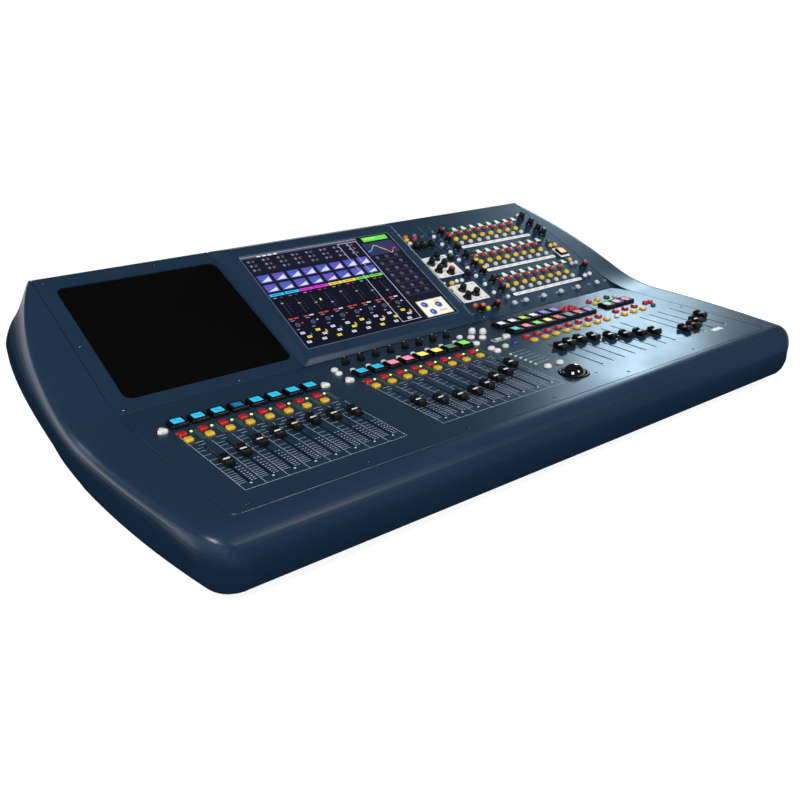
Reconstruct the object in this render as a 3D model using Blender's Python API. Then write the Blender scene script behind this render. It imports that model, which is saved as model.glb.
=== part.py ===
"""Digital mixing console with 28 faders: a bent, moulded body with a low fader deck and a steeper
meter deck, a raised display, eight rotary encoders, a trackball and sprung key mats.

Frame: metres, +Z up, +X to the operator's right, +Y to the rear. The origin is on the table,
under the middle of the console's box. The fader deck is a plane that rises to the rear. Places on
it are given as x, v and w in fader pitches: v runs up the slope from the bottom of the fader
slots, and w is the height above the deck.
"""
import math

import bmesh
import bpy
from mathutils import Matrix, Vector

# Driving dimensions
PITCH = 0.030                          # distance between two channel faders
GAP = 0.0003                           # clearance between neighbouring pieces
DECK_TILT = math.radians(8.0)          # fader deck against the table
UPPER_TILT = math.radians(22.1)        # meter deck against the fader deck
CREASE_V = 9.218                       # where the two decks meet, in pitches
REAR_V = 19.40                         # top rear edge, measured along the fader deck, in pitches
SEAM_X = 17.6                          # half width of the deck panels, in pitches
DECK_Z = 0.1065                        # height of the deck frame's origin above the table
DECK_Y = -0.25247                      # puts the middle of the console over the origin
PANEL_T = 0.0025                       # sheet thickness of the deck panels

# Front armrest: a round nose under the front edge of the fader deck, in pitches
NOSE_R = 1.47
NOSE_V = -2.10
PANEL_FRONT_V = -2.0
CORNER_R = 1.6

# Faders
FADER_TRAVEL = 0.100
SLOT_LENGTH = 3.877 * PITCH
SLOT_WIDTH = 0.0024
SLOT_END = 0.05 * PITCH                # from the slot's bottom dot to the slot's end
CAP_LENGTH = 0.024
CAP_WIDTH = 0.0125
STEM = (0.0014, 0.0060, 0.0140)        # width, length along the slot, depth below the deck
GROUP_PITCH = 0.897                    # closer pitch of the right-hand banks, in fader pitches
BANKS = {                              # first fader's x in pitches, spacing in pitches, count
    "left": (-15.72, 1.0, 8),
    "centre": (-5.68, 1.0, 8),
    "group": (5.32, GROUP_PITCH, 8),
    "output": (13.42, GROUP_PITCH, 4),
}
LAST_OUTPUT_SHIFT = 0.276              # the last output fader stands a little apart
FADER_REST = {                         # rest height of each cap along the slot, in pitches
    "left": (1.89, 2.31, 2.70, 2.94, 3.15, 3.20, 3.02, 2.80),
    "centre": (1.88, 1.43, 1.16, 1.19, 1.43, 1.84, 2.18, 2.83),
    "group": (3.00, 3.17, 3.19, 2.98, 2.51, 2.13, 1.83, 1.48),
    "output": (0.70, 0.76, 1.22, 1.70),
}

# Key mats: rows of keys on one moulded carrier under the deck
KEY_TRAVEL = 0.0010
WEB_T = 0.0012
KEY_HEIGHT = 0.0035
LCD_HEIGHT = 0.0060
LCD_KEY = (0.0258, 0.0255)             # display key, across and along the slope
LCD_HALF = 0.45                        # half size of a display key and its clearance, in pitches
KEY_R = 0.0062                         # radius of a mute or solo key
SELECT_R = 0.0042                      # small keys behind the centre display keys
WING_R = 0.0085                        # large keys at the ends of the rows
NAV_R = 0.0066
ROW_RED_V = 5.54
ROW_YELLOW_V = 4.86
ROW_LCD_V = 6.64
ROW_LCD_REAR_V = 7.84
ROW_SELECT_V = 7.30
KEY_SHIFT = {"left": -0.29, "centre": -0.29, "group": -0.115, "output": -0.29}
LCD_SHIFT = {"left": 0.0, "centre": 0.09, "group": 0.12, "output": 0.17}
NAV_KEYS = (                           # x, v and radius of the keys between the centre and group banks
    (3.27, 8.02, NAV_R), (3.74, 7.60, NAV_R), (2.62, 7.38, NAV_R), (3.13, 6.96, NAV_R),
    (2.10, 7.78, 0.0055), (2.15, 6.42, 0.0070), (4.33, 6.28, WING_R), (3.16, 5.11, 0.0060),
    (3.97, 5.17, 0.0060), (2.28, 5.31, NAV_R), (2.28, 4.84, NAV_R), (2.74, 1.50, NAV_R),
    (3.66, 1.50, NAV_R),
)
GROUP_KEYS = (                         # round keys behind the group and output displays
    (10.68, 7.92, 0.0050), (11.14, 7.92, 0.0050), (11.60, 7.92, 0.0050), (10.68, 7.48, 0.0050),
    (11.14, 7.48, 0.0050), (11.60, 7.48, 0.0050), (13.34, 7.91, KEY_R), (14.20, 7.91, KEY_R),
    (15.04, 7.87, KEY_R), (13.40, 7.44, 0.0050), (15.66, 7.70, 0.0050),
)
LAST_KEYS = ((12.42, 4.87, 0.0055), (16.04, 5.54, 0.0060), (16.48, 5.50, 0.0060), (16.03, 4.91, 0.0050))

# Encoders and trackball
ENCODER_V = 8.27
ENCODER_SHIFT = 0.19                   # each stands a little to the right of its fader, in pitches
KNOB_R = 0.0066
KNOB_H = 0.0115
SHAFT_R = 0.0030
BALL_R = 0.0200
BALL_X = 3.18
BALL_V = 0.10
BALL_DROP = 0.0060                     # ball's centre below the deck
BALL_CLEAR = 0.0005

# Display housing: outline along x and up the meter deck, in pitches
DISPLAY_X = (-7.10, 4.75)
DISPLAY_S = (0.38, 9.70)
DISPLAY_RISE = (0.18, 0.85)            # height of its face above the deck, front and rear
DISPLAY_FLANK = 0.42
GLASS_X = (-6.62, 4.00)
GLASS_S = (1.05, 8.95)
GLASS_T = 0.0030

# Left bay, in the same units
BAY_X = (-16.75, -7.62)
BAY_S = (0.85, 9.95)
BAY_CORNER = 0.45
BAY_DEPTH = 0.0030

# Strips of keys on the right of the meter deck
STRIP_ROWS = (3.17, 5.93, 8.68)        # slope position of the red keys, in pitches
STRIP_STEPS = ((0.0, 0.0), (0.0, -0.67), (0.12, -1.16))    # x and slope steps to the keys below them
STRIP_X0 = 9.44
STRIP_PITCH = 0.806
STRIP_KEY_R = 0.0044

# Base
PAN_HALF_X = 16.0
PAN_T = 0.0020
PAN_FRONT_V = -0.75
PAN_REAR_V = 17.6
FOOT_R = 0.019
FOOT_H = 0.008
FLOOR_W = -3.285                       # underside of the pan where v is 0, in pitches

COLOURS = {                            # colour, roughness, metallic
    "navy_shell": ((0.020, 0.045, 0.085), 0.38, 0.0),
    "navy_panel": ((0.022, 0.050, 0.088), 0.42, 0.3),
    "black_tray": ((0.004, 0.004, 0.005), 0.75, 0.0),
    "black_plastic": ((0.010, 0.010, 0.011), 0.45, 0.0),
    "gloss_black": ((0.006, 0.006, 0.007), 0.08, 0.0),
    "screen_glass": ((0.010, 0.012, 0.030), 0.10, 0.0),
    "key_rubber": ((0.55, 0.45, 0.10), 0.50, 0.0),
    "steel": ((0.35, 0.36, 0.37), 0.40, 1.0),
    "board_green": ((0.02, 0.12, 0.05), 0.50, 0.0),
    "foot_rubber": ((0.015, 0.015, 0.015), 0.85, 0.0),
}


# ---------------------------------------------------------------- scene, materials and frames

def clear_scene():
    for item in list(bpy.data.objects):
        bpy.data.objects.remove(item, do_unlink=True)


def make_material(name):
    colour, roughness, metallic = COLOURS[name]
    material = bpy.data.materials.new(name)
    material.use_nodes = True
    shader = material.node_tree.nodes["Principled BSDF"]
    shader.inputs["Base Color"].default_value = (*colour, 1.0)
    shader.inputs["Roughness"].default_value = roughness
    shader.inputs["Metallic"].default_value = metallic
    return material


def make_frame(name, location, tilt, parent=None):
    frame = bpy.data.objects.new(name, None)
    frame.location = location
    frame.rotation_euler = (tilt, 0.0, 0.0)
    frame.parent = parent
    bpy.context.collection.objects.link(frame)
    return frame


def add_object(name, bm, material, parent):
    """Turn a bmesh into a named object with outward faces."""
    bmesh.ops.recalc_face_normals(bm, faces=bm.faces)
    mesh = bpy.data.meshes.new(name)
    bm.to_mesh(mesh)
    bm.free()
    mesh.materials.append(material)
    item = bpy.data.objects.new(name, mesh)
    item.parent = parent
    bpy.context.collection.objects.link(item)
    return item


# ---------------------------------------------------------------- shapes

def add_box(bm, low, high):
    size = Vector(high) - Vector(low)
    middle = (Vector(high) + Vector(low)) / 2.0
    matrix = Matrix.Translation(middle) @ Matrix.Diagonal((*size, 1.0))
    bmesh.ops.create_cube(bm, size=1.0, matrix=matrix)


def add_post(bm, centre, radius, low, high, sides):
    matrix = Matrix.Translation((centre[0], centre[1], (low + high) / 2.0))
    bmesh.ops.create_cone(bm, cap_ends=True, segments=sides, radius1=radius, radius2=radius,
                          depth=high - low, matrix=matrix)


def add_prism(bm, outline, low, high):
    """A flat outline of (x, y) points, raised from low to high."""
    face = bm.faces.new([bm.verts.new((x, y, low)) for x, y in outline])
    raised = bmesh.ops.extrude_face_region(bm, geom=[face])
    corners = [g for g in raised["geom"] if isinstance(g, bmesh.types.BMVert)]
    bmesh.ops.translate(bm, verts=corners, vec=(0.0, 0.0, high - low))


def add_section(bm, outline, left, right):
    """A (y, z) outline, run along x from left to right."""
    face = bm.faces.new([bm.verts.new((left, y, z)) for y, z in outline])
    raised = bmesh.ops.extrude_face_region(bm, geom=[face])
    corners = [g for g in raised["geom"] if isinstance(g, bmesh.types.BMVert)]
    bmesh.ops.translate(bm, verts=corners, vec=(right - left, 0.0, 0.0))


def add_turned(bm, profile, segments):
    """A (radius, height) profile turned about z. Its first and last radius are 0."""
    rings = []
    for radius, height in profile:
        if radius == 0.0:
            rings.append([bm.verts.new((0.0, 0.0, height))])
            continue
        angles = [2.0 * math.pi * k / segments for k in range(segments)]
        rings.append([bm.verts.new((radius * math.cos(a), radius * math.sin(a), height))
                      for a in angles])
    for lower, upper in zip(rings, rings[1:]):
        for k in range(segments):
            n = (k + 1) % segments
            corners = [lower[k % len(lower)], lower[n % len(lower)],
                       upper[n % len(upper)], upper[k % len(upper)]]
            bm.faces.new(list(dict.fromkeys(corners)))


def add_loft(bm, sections):
    """Closed sections with equal point counts, joined in order and capped at both ends."""
    rings = [[bm.verts.new(point) for point in section] for section in sections]
    for lower, upper in zip(rings, rings[1:]):
        for k in range(len(lower)):
            n = (k + 1) % len(lower)
            bm.faces.new((lower[k], lower[n], upper[n], upper[k]))
    bm.faces.new(rings[0])
    bm.faces.new(rings[-1])


def rounded_rectangle(x_span, y_span, radius, steps=4):
    centres = ((x_span[1] - radius, y_span[1] - radius, 0), (x_span[0] + radius, y_span[1] - radius, 1),
               (x_span[0] + radius, y_span[0] + radius, 2), (x_span[1] - radius, y_span[0] + radius, 3))
    points = []
    for cx, cy, quarter in centres:
        for k in range(steps + 1):
            angle = (quarter + k / steps) * math.pi / 2.0
            points.append((cx + radius * math.cos(angle), cy + radius * math.sin(angle)))
    return points


def boolean(item, cutter, operation):
    """Join or cut with a second object, which stays in the scene as a hidden guide."""
    cutter.hide_render = True
    cutter.display_type = "WIRE"
    modifier = item.modifiers.new(operation.lower(), "BOOLEAN")
    modifier.operation = operation
    modifier.object = cutter
    modifier.solver = "EXACT"


def baked_mesh(item):
    """The evaluated mesh of an object, so that copies can share it."""
    graph = bpy.context.evaluated_depsgraph_get()
    mesh = bpy.data.meshes.new_from_object(item.evaluated_get(graph))
    mesh.name = item.name
    return mesh


# ---------------------------------------------------------------- the body's own curves

def deck_top(v):
    """Height of the side pods' top edge above the fader deck, in pitches, with a soft crease."""
    blend = 1.8
    slope = math.tan(UPPER_TILT)
    if v <= CREASE_V - blend:
        return 0.0
    if v >= CREASE_V + blend:
        return slope * (v - CREASE_V)
    return slope * (v - CREASE_V + blend) ** 2 / (4.0 * blend)


def pod_top(v):
    if v < NOSE_V:
        return -NOSE_R + math.sqrt(max(NOSE_R ** 2 - (v - NOSE_V) ** 2, 0.0))
    if v > REAR_V:
        middle, reach = 1.3, 1.1
        rise = deck_top(REAR_V) - middle
        return middle + rise * math.sqrt(max(1.0 - ((v - REAR_V) / reach) ** 2, 0.0))
    return deck_top(v)


def pod_bottom(v):
    if v < NOSE_V:
        return -NOSE_R - math.sqrt(max(NOSE_R ** 2 - (v - NOSE_V) ** 2, 0.0))
    bend, low, rear = 8.5, -3.05, -1.2
    if v < bend:
        return -2.0 * NOSE_R + (low + 2.0 * NOSE_R) * (v - NOSE_V) / (bend - NOSE_V)
    if v <= REAR_V:
        return low + (rear - low) * (v - bend) / (REAR_V - bend)
    middle, reach = 1.3, 1.1
    return middle + (rear - middle) * math.sqrt(max(1.0 - ((v - REAR_V) / reach) ** 2, 0.0))


def ridge_half_width(v):
    """Half width of the pods' top edge: the sides bow out, and draw in at both ends."""
    waist = 8.0
    half = 19.95
    if v < waist:
        half -= 0.0087 * (v - waist) ** 2
    else:
        half -= 0.00138 * (min(v, REAR_V) - waist) ** 3
    corner = NOSE_V - NOSE_R + CORNER_R
    if v < corner:
        reach = min((corner - v) / (corner - NOSE_V + NOSE_R), 1.0)
        half -= CORNER_R * (1.0 - math.sqrt(max(1.0 - reach ** 2, 0.0)))
    return half


def flank_swell(v):
    """How far the lower flank stands out past the top edge near the rear."""
    start = 9.0
    return 0.0145 * max(min(v, REAR_V) - start, 0.0) ** 2


def pod_section(v, side):
    """One closed section of a side pod in the deck frame, in metres."""
    top, bottom = pod_top(v), pod_bottom(v)
    height = top - bottom
    ridge = ridge_half_width(v)
    scale = min(height / 2.9, 1.0)
    swell = flank_swell(v)
    rear = min(max((v - 7.5) / 3.0, 0.0), 1.0)
    front = min(max((v - NOSE_V + 0.6) / 2.5, 0.0), 1.0)
    dip = 0.55 * (1.0 - rear) * front
    tuck = 0.85 * (1.0 - 0.6 * rear)
    end = max(v - REAR_V, 0.0)
    ridge -= 0.9 * end ** 2
    inner = SEAM_X + GAP / PITCH
    rows = [(inner, 0.0)]
    rows += [(ridge - inset * scale, drop * scale) for inset, drop in ((0.45, 0.0), (0.14, 0.09), (0.0, 0.32))]
    rows.append((ridge + 0.35 * swell - 0.6 * dip, 0.26 * height))
    rows.append((ridge + 0.75 * swell - dip, 0.42 * height))
    rows.append((ridge + swell - 0.65 * dip, 0.62 * height))
    rows.append((ridge + 0.9 * swell - 0.25 * tuck * scale - 0.3 * dip, 0.80 * height))
    rows.append((ridge + 0.6 * swell - 0.6 * tuck * scale, 0.94 * height))
    rows.append((ridge + 0.2 * swell - 1.1 * tuck * scale, height))
    rows.append((inner, height))
    return [(side * max(x, inner) * PITCH, v * PITCH, (top - drop) * PITCH) for x, drop in rows]


def pod_stations():
    corner = [NOSE_V - NOSE_R * math.sin(math.radians(a)) for a in (86.0, 74.0, 60.0, 44.0, 26.0)]
    along = [-2.0, -1.0, 0.5, 2.5, 4.5, 6.4, 7.6, 8.6, 9.6, 10.6, 12.0, 13.5, 15.0, 16.5, 17.8, 18.8, 19.4]
    rear = [REAR_V + 1.1 * math.sin(math.radians(a)) for a in (22.0, 42.0, 60.0, 75.0, 85.0)]
    return corner + along + rear


# ---------------------------------------------------------------- the sub-parts

def build_side_pods(frame, material):
    for name, side in (("side_pod_left", -1), ("side_pod_right", 1)):
        bm = bmesh.new()
        add_loft(bm, [pod_section(v, side) for v in pod_stations()])
        pod = add_object(name, bm, material, frame)
        pod.data.shade_smooth()
        pod.data.set_sharp_from_angle(angle=math.radians(40.0))


def build_front_armrest(frame, material):
    """A long nose with a ledge that carries the front edge of the fader deck."""
    arc = [(NOSE_V - NOSE_R * math.sin(a), -NOSE_R - NOSE_R * math.cos(a))
           for a in (math.pi * k / 12.0 for k in range(13))]
    gap = GAP / PITCH
    ledge_w = -PANEL_T / PITCH - gap
    ledge_v = -1.15
    lip_v = PANEL_FRONT_V - gap
    outline = arc + [(lip_v, 0.0), (lip_v, ledge_w), (ledge_v, ledge_w), (ledge_v, -2.0 * NOSE_R)]
    bm = bmesh.new()
    half = SEAM_X * PITCH
    add_section(bm, [(v * PITCH, w * PITCH) for v, w in outline], -half, half)
    rest = add_object("front_armrest", bm, material, frame)
    rest.data.shade_smooth()
    rest.data.set_sharp_from_angle(angle=math.radians(35.0))


def fader_places():
    """Yield each fader's name, x and rest position up its slot, both in pitches."""
    for bank, (first, spacing, count) in BANKS.items():
        for k in range(count):
            x = first + k * spacing
            if bank == "output" and k == count - 1:
                x += LAST_OUTPUT_SHIFT
            yield f"fader_{bank}_{k + 1}", x, FADER_REST[bank][k]


def key_windows():
    """Rectangles (x span, v span) in pitches that the key mats rise through."""
    lcd = (ROW_LCD_V - 0.68, ROW_LCD_V + LCD_HALF)
    small = (ROW_YELLOW_V - 0.28, ROW_RED_V + 0.28)
    group = BANKS["group"][0]
    output = BANKS["output"][0]
    group_end = group + 7.0 * GROUP_PITCH + LCD_SHIFT["group"] + LCD_HALF
    output_lcd = output + LCD_SHIFT["output"]
    return {
        "left": [((-16.95, -7.65), lcd), ((-16.30, -8.70), small)],
        "centre": [((-6.95, 1.86), (lcd[0], ROW_SELECT_V + 0.26)), ((-6.30, 1.40), small),
                   ((-6.90, -6.05), (ROW_SELECT_V + 0.30, 8.14)),
                   ((1.90, 4.66), (small[0], 8.28)), ((2.45, 3.95), (1.20, 1.80))],
        "right": [((group + LCD_SHIFT["group"] - LCD_HALF, group_end), (ROW_LCD_V - LCD_HALF, lcd[1])),
                  ((group + LCD_SHIFT["group"] - LCD_HALF, 11.85), (7.22, ROW_LCD_REAR_V + LCD_HALF)),
                  ((group - 0.40, 16.75), small),
                  ((output_lcd - LCD_HALF, output_lcd + 2.0 * GROUP_PITCH + LCD_HALF),
                   (ROW_LCD_V - LCD_HALF, lcd[1])),
                  ((13.06, 15.95), (7.22, 8.18))],
    }


def build_lower_panel(frame, material):
    bm = bmesh.new()
    half = (SEAM_X - GAP / PITCH) * PITCH
    rear = (CREASE_V - 0.03) * PITCH
    front = PANEL_FRONT_V * PITCH
    radius = 0.45 * PITCH
    outline = [(half, front + radius), (half, rear), (-half, rear), (-half, front + radius)]
    for k in range(1, 5):
        angle = math.pi + k / 4.0 * math.pi / 2.0
        outline.append((-half + radius + radius * math.cos(angle), front + radius + radius * math.sin(angle)))
    for k in range(4):
        angle = 1.5 * math.pi + k / 4.0 * math.pi / 2.0
        outline.append((half - radius + radius * math.cos(angle), front + radius + radius * math.sin(angle)))
    add_prism(bm, outline, -PANEL_T, 0.0)
    panel = add_object("lower_panel", bm, material, frame)

    cuts = bmesh.new()
    deep, high = -4.0 * PANEL_T, 2.0 * PANEL_T
    for _, x, _ in fader_places():
        low = (x * PITCH - SLOT_WIDTH / 2.0, -SLOT_END, deep)
        add_box(cuts, low, (x * PITCH + SLOT_WIDTH / 2.0, SLOT_LENGTH + SLOT_END, high))
    for spans in key_windows().values():
        for (x0, x1), (v0, v1) in spans:
            add_box(cuts, (x0 * PITCH, v0 * PITCH, deep), (x1 * PITCH, v1 * PITCH, high))
    first, spacing, count = BANKS["centre"]
    for k in range(count):
        centre = ((first + ENCODER_SHIFT + k * spacing) * PITCH, ENCODER_V * PITCH)
        add_post(cuts, centre, SHAFT_R + 0.0006, deep, high, 12)
    add_post(cuts, (BALL_X * PITCH, BALL_V * PITCH), BALL_R + 0.0030, deep, high, 24)
    boolean(panel, add_object("lower_panel_cuts", cuts, material, frame), "DIFFERENCE")


def build_upper_panels(frame, material):
    slope_end = (REAR_V - CREASE_V) / math.cos(UPPER_TILT)
    start, end = 0.04 * PITCH, slope_end * PITCH
    half = SEAM_X * PITCH - GAP
    flank = DISPLAY_FLANK * PITCH
    left_edge = DISPLAY_X[0] * PITCH - flank - GAP
    right_edge = DISPLAY_X[1] * PITCH + flank + GAP

    bm = bmesh.new()
    add_box(bm, (-half, start, -PANEL_T), (left_edge, end, 0.0))
    left = add_object("upper_panel_left", bm, material, frame)
    cuts = bmesh.new()
    x_span = [value * PITCH for value in BAY_X]
    s_span = [value * PITCH for value in BAY_S]
    add_prism(cuts, rounded_rectangle(x_span, s_span, BAY_CORNER * PITCH), -4.0 * PANEL_T, 2.0 * PANEL_T)
    boolean(left, add_object("upper_panel_left_cuts", cuts, material, frame), "DIFFERENCE")

    bm = bmesh.new()
    add_box(bm, (right_edge, start, -PANEL_T), (half, end, 0.0))
    right = add_object("upper_panel_right", bm, material, frame)
    cuts = bmesh.new()
    for (x0, x1), (s0, s1) in strip_windows():
        add_box(cuts, (x0 * PITCH, s0 * PITCH, -4.0 * PANEL_T), (x1 * PITCH, s1 * PITCH, 2.0 * PANEL_T))
    boolean(right, add_object("upper_panel_right_cuts", cuts, material, frame), "DIFFERENCE")


def build_bay_tray(frame, material):
    """A flat tray that closes the bay from below, with a flange under the panel."""
    margin = 0.004
    x_span = [BAY_X[0] * PITCH, BAY_X[1] * PITCH]
    s_span = [BAY_S[0] * PITCH, BAY_S[1] * PITCH]
    outline = rounded_rectangle((x_span[0] - margin, x_span[1] + 0.5 * margin),
                                (s_span[0] - margin, s_span[1] + margin), BAY_CORNER * PITCH)
    bm = bmesh.new()
    top = -PANEL_T - GAP
    add_prism(bm, outline, top - BAY_DEPTH, top)
    add_object("bay_tray", bm, material, frame)


def strip_windows():
    """The slots of the three rows of strips, as (x span, slope span) in pitches."""
    x_span = (STRIP_X0 - 0.30, STRIP_X0 + 7.0 * STRIP_PITCH + 0.40)
    return [(x_span, (row - 1.42, row + 0.28)) for row in STRIP_ROWS]


def build_display(frame, housing_material, glass_material):
    """A raised housing with sloping flanks, which carries the touch screen in a recess."""
    x0, x1 = (value * PITCH for value in DISPLAY_X)
    s0, s1 = (value * PITCH for value in DISPLAY_S)
    rise0, rise1 = (value * PITCH for value in DISPLAY_RISE)
    flank = DISPLAY_FLANK * PITCH
    base = -PANEL_T
    foot0, foot1 = 0.04 * PITCH, ((REAR_V - CREASE_V) / math.cos(UPPER_TILT)) * PITCH
    bm = bmesh.new()
    foot = [(x0 - flank, foot0), (x1 + flank, foot0), (x1 + flank, foot1), (x0 - flank, foot1)]
    face = [(x0, s0, rise0), (x1, s0, rise0), (x1, s1, rise1), (x0, s1, rise1)]
    rings = [[(x, s, base) for x, s in foot], [(x, s, 0.0) for x, s in foot], face]
    add_loft(bm, rings)
    housing = add_object("display_housing", bm, housing_material, frame)

    recess = GLASS_T + 2.0 * GAP
    slope = (rise1 - rise0) / (s1 - s0)
    gx0, gx1 = (value * PITCH for value in GLASS_X)
    gs0, gs1 = (value * PITCH for value in GLASS_S)
    levels = [rise0 + slope * (s - s0) for s in (gs0, gs1)]
    cuts = bmesh.new()
    corners = [(gx0, gs0, levels[0]), (gx1, gs0, levels[0]), (gx1, gs1, levels[1]), (gx0, gs1, levels[1])]
    add_loft(cuts, [[(x, s, w - recess) for x, s, w in corners], [(x, s, w + recess) for x, s, w in corners]])
    boolean(housing, add_object("display_recess", cuts, housing_material, frame), "DIFFERENCE")

    bm = bmesh.new()
    corners = [(gx0 + GAP, gs0 + GAP, levels[0]), (gx1 - GAP, gs0 + GAP, levels[0]),
               (gx1 - GAP, gs1 - GAP, levels[1]), (gx0 + GAP, gs1 - GAP, levels[1])]
    under, over = GAP - recess, GAP - recess + GLASS_T
    add_loft(bm, [[(x, s, w + under) for x, s, w in corners], [(x, s, w + over) for x, s, w in corners]])
    add_object("display_glass", bm, glass_material, frame)


def build_faders(frame, material):
    """One cap and stem for each fader. The cap's ends are raised for the fingertip."""
    half, high = CAP_LENGTH / 2.0, 0.0108
    clear = 0.0012
    outline = [(-half, clear), (-half, 0.0078), (-0.75 * half, high), (-0.52 * half, 0.0100),
               (-0.22 * half, 0.0074), (0.22 * half, 0.0074), (0.52 * half, 0.0100),
               (0.75 * half, high), (half, 0.0078), (half, clear)]
    bm = bmesh.new()
    add_section(bm, outline, -CAP_WIDTH / 2.0, CAP_WIDTH / 2.0)
    cap = add_object("fader_cap_pattern", bm, material, frame)
    bm = bmesh.new()
    width, length, depth = STEM
    add_box(bm, (-width / 2.0, -length / 2.0, -depth), (width / 2.0, length / 2.0, clear + 0.002))
    stem = add_object("fader_stem_pattern", bm, material, frame)
    boolean(cap, stem, "UNION")
    mesh = baked_mesh(cap)
    for pattern in (cap, stem):
        bpy.data.objects.remove(pattern, do_unlink=True)
    for name, x, rest in fader_places():
        fader = bpy.data.objects.new(name, mesh)
        fader.parent = frame
        fader.location = (x * PITCH, rest * PITCH, 0.0)
        bpy.context.collection.objects.link(fader)


def build_fader_bed(frame, material):
    """A sheet under the faders with one raised track body below each slot."""
    bm = bmesh.new()
    bed_low, bed_high = -0.0320, -0.0300
    edge = 16.9 * PITCH
    add_box(bm, (-edge, -0.4 * PITCH, bed_low), (edge, 4.3 * PITCH, bed_high))
    bed = add_object("fader_bed", bm, material, frame)
    tracks = bmesh.new()
    for _, x, _ in fader_places():
        low = (x * PITCH - 0.006, -0.2 * PITCH, bed_high - 0.001)
        add_box(tracks, low, (x * PITCH + 0.006, SLOT_LENGTH + 0.2 * PITCH, -STEM[2] - 0.002))
    boolean(bed, add_object("fader_tracks", tracks, material, frame), "UNION")


def build_encoders(frame, material):
    profile = [(0.0, -0.010), (SHAFT_R, -0.010), (SHAFT_R, 0.0010), (KNOB_R, 0.0010),
               (KNOB_R * 0.93, KNOB_H - 0.001), (KNOB_R * 0.80, KNOB_H), (0.0, KNOB_H)]
    bm = bmesh.new()
    add_turned(bm, profile, 16)
    first = add_object("encoder_1", bm, material, frame)
    first.data.shade_smooth()
    first.data.set_sharp_from_angle(angle=math.radians(35.0))
    start, spacing, count = BANKS["centre"]
    for k in range(count):
        knob = first if k == 0 else bpy.data.objects.new(f"encoder_{k + 1}", first.data)
        knob.parent = frame
        knob.location = ((start + ENCODER_SHIFT + k * spacing) * PITCH, ENCODER_V * PITCH, 0.0)
        if k:
            bpy.context.collection.objects.link(knob)


def build_trackball(frame, ball_material, ring_material):
    place = (BALL_X * PITCH, BALL_V * PITCH, 0.0)
    bm = bmesh.new()
    bmesh.ops.create_uvsphere(bm, u_segments=20, v_segments=12, radius=BALL_R)
    ball = add_object("trackball", bm, ball_material, frame)
    ball.location = (place[0], place[1], -BALL_DROP)
    ball.data.shade_smooth()

    inner = BALL_R + BALL_CLEAR
    outer = BALL_R + 0.0024
    floor = -BALL_DROP - BALL_R - 0.0015
    lip = BALL_R - 0.0012
    profile = [(0.0, floor - 0.0015), (outer, floor - 0.0015), (outer, GAP), (BALL_R + 0.0060, GAP),
               (BALL_R + 0.0060, 0.0012), (BALL_R + 0.0010, 0.0020), (lip + 0.0007, 0.0018),
               (inner, -0.0015), (inner, floor), (0.0, floor)]
    bm = bmesh.new()
    add_turned(bm, profile, 24)
    cup = add_object("trackball_bezel", bm, ring_material, frame)
    cup.location = place


def build_key_mat(name, frame, material, windows, lcd_keys, round_keys):
    """Keys on carrier sheets that are joined into one mat, just under the panel."""
    top = -PANEL_T - GAP
    low = top - WEB_T
    margin = 0.0020
    groups = [windows]
    if name == "centre_key_mat":
        groups = [windows[:2], windows[2:3], windows[3:]]
    mat = None
    for number, group in enumerate(groups):
        xs = [x for span, _ in group for x in span]
        vs = [v for _, span in group for v in span]
        lift = 0.0001 * number
        sheet = bmesh.new()
        add_box(sheet, (min(xs) * PITCH - margin, min(vs) * PITCH - margin, low + lift),
                (max(xs) * PITCH + margin, max(vs) * PITCH + margin, top - lift))
        if mat is None:
            mat = add_object(name, sheet, material, frame)
        else:
            boolean(mat, add_object(f"{name}_wing_{number}", sheet, material, frame), "UNION")
    keys = bmesh.new()
    seat = top - 0.5 * WEB_T
    for x, v in lcd_keys:
        wide, deep = LCD_KEY
        low_corner = (x * PITCH - wide / 2.0, v * PITCH - deep / 2.0, seat)
        add_box(keys, low_corner, (x * PITCH + wide / 2.0, v * PITCH + deep / 2.0, LCD_HEIGHT))
    for x, v, radius in round_keys:
        add_post(keys, (x * PITCH, v * PITCH), radius, seat, KEY_HEIGHT, 8)
    boolean(mat, add_object(name + "_keys", keys, material, frame), "UNION")


def build_key_mats(deck, upper, material):
    windows = key_windows()
    places = {bank: [first + k * spacing for k in range(count)]
              for bank, (first, spacing, count) in BANKS.items()}
    places["output"] = places["output"][:3]
    rows = (ROW_YELLOW_V, ROW_RED_V)
    small = {bank: [(x + KEY_SHIFT[bank], row, KEY_R) for x in xs for row in rows]
             for bank, xs in places.items()}
    lcd = {bank: [(x + LCD_SHIFT[bank], ROW_LCD_V) for x in xs] for bank, xs in places.items()}

    wings = [(-16.58, 6.35, WING_R), (-7.98, 6.45, WING_R)]
    build_key_mat("left_key_mat", deck, material, windows["left"], lcd["left"], small["left"] + wings)

    select = [(x, ROW_SELECT_V, SELECT_R) for x in places["centre"]]
    wings = [(-6.62, 6.28, WING_R), (-6.45, 7.86, 0.0060), (-6.55, 7.32, 0.0060)]
    build_key_mat("centre_key_mat", deck, material, windows["centre"], lcd["centre"],
                  small["centre"] + select + wings + list(NAV_KEYS))

    rear = [(x + LCD_SHIFT["group"], ROW_LCD_REAR_V) for x in places["group"][:6]]
    build_key_mat("right_key_mat", deck, material, windows["right"], lcd["group"] + rear + lcd["output"],
                  small["group"] + small["output"] + list(GROUP_KEYS + LAST_KEYS))

    strips = [STRIP_X0 + k * STRIP_PITCH for k in range(8)]
    small = [(x + across, row + step, STRIP_KEY_R)
             for row in STRIP_ROWS for x in strips for across, step in STRIP_STEPS]
    build_key_mat("upper_key_mat", upper, material, strip_windows(), [], small)


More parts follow.
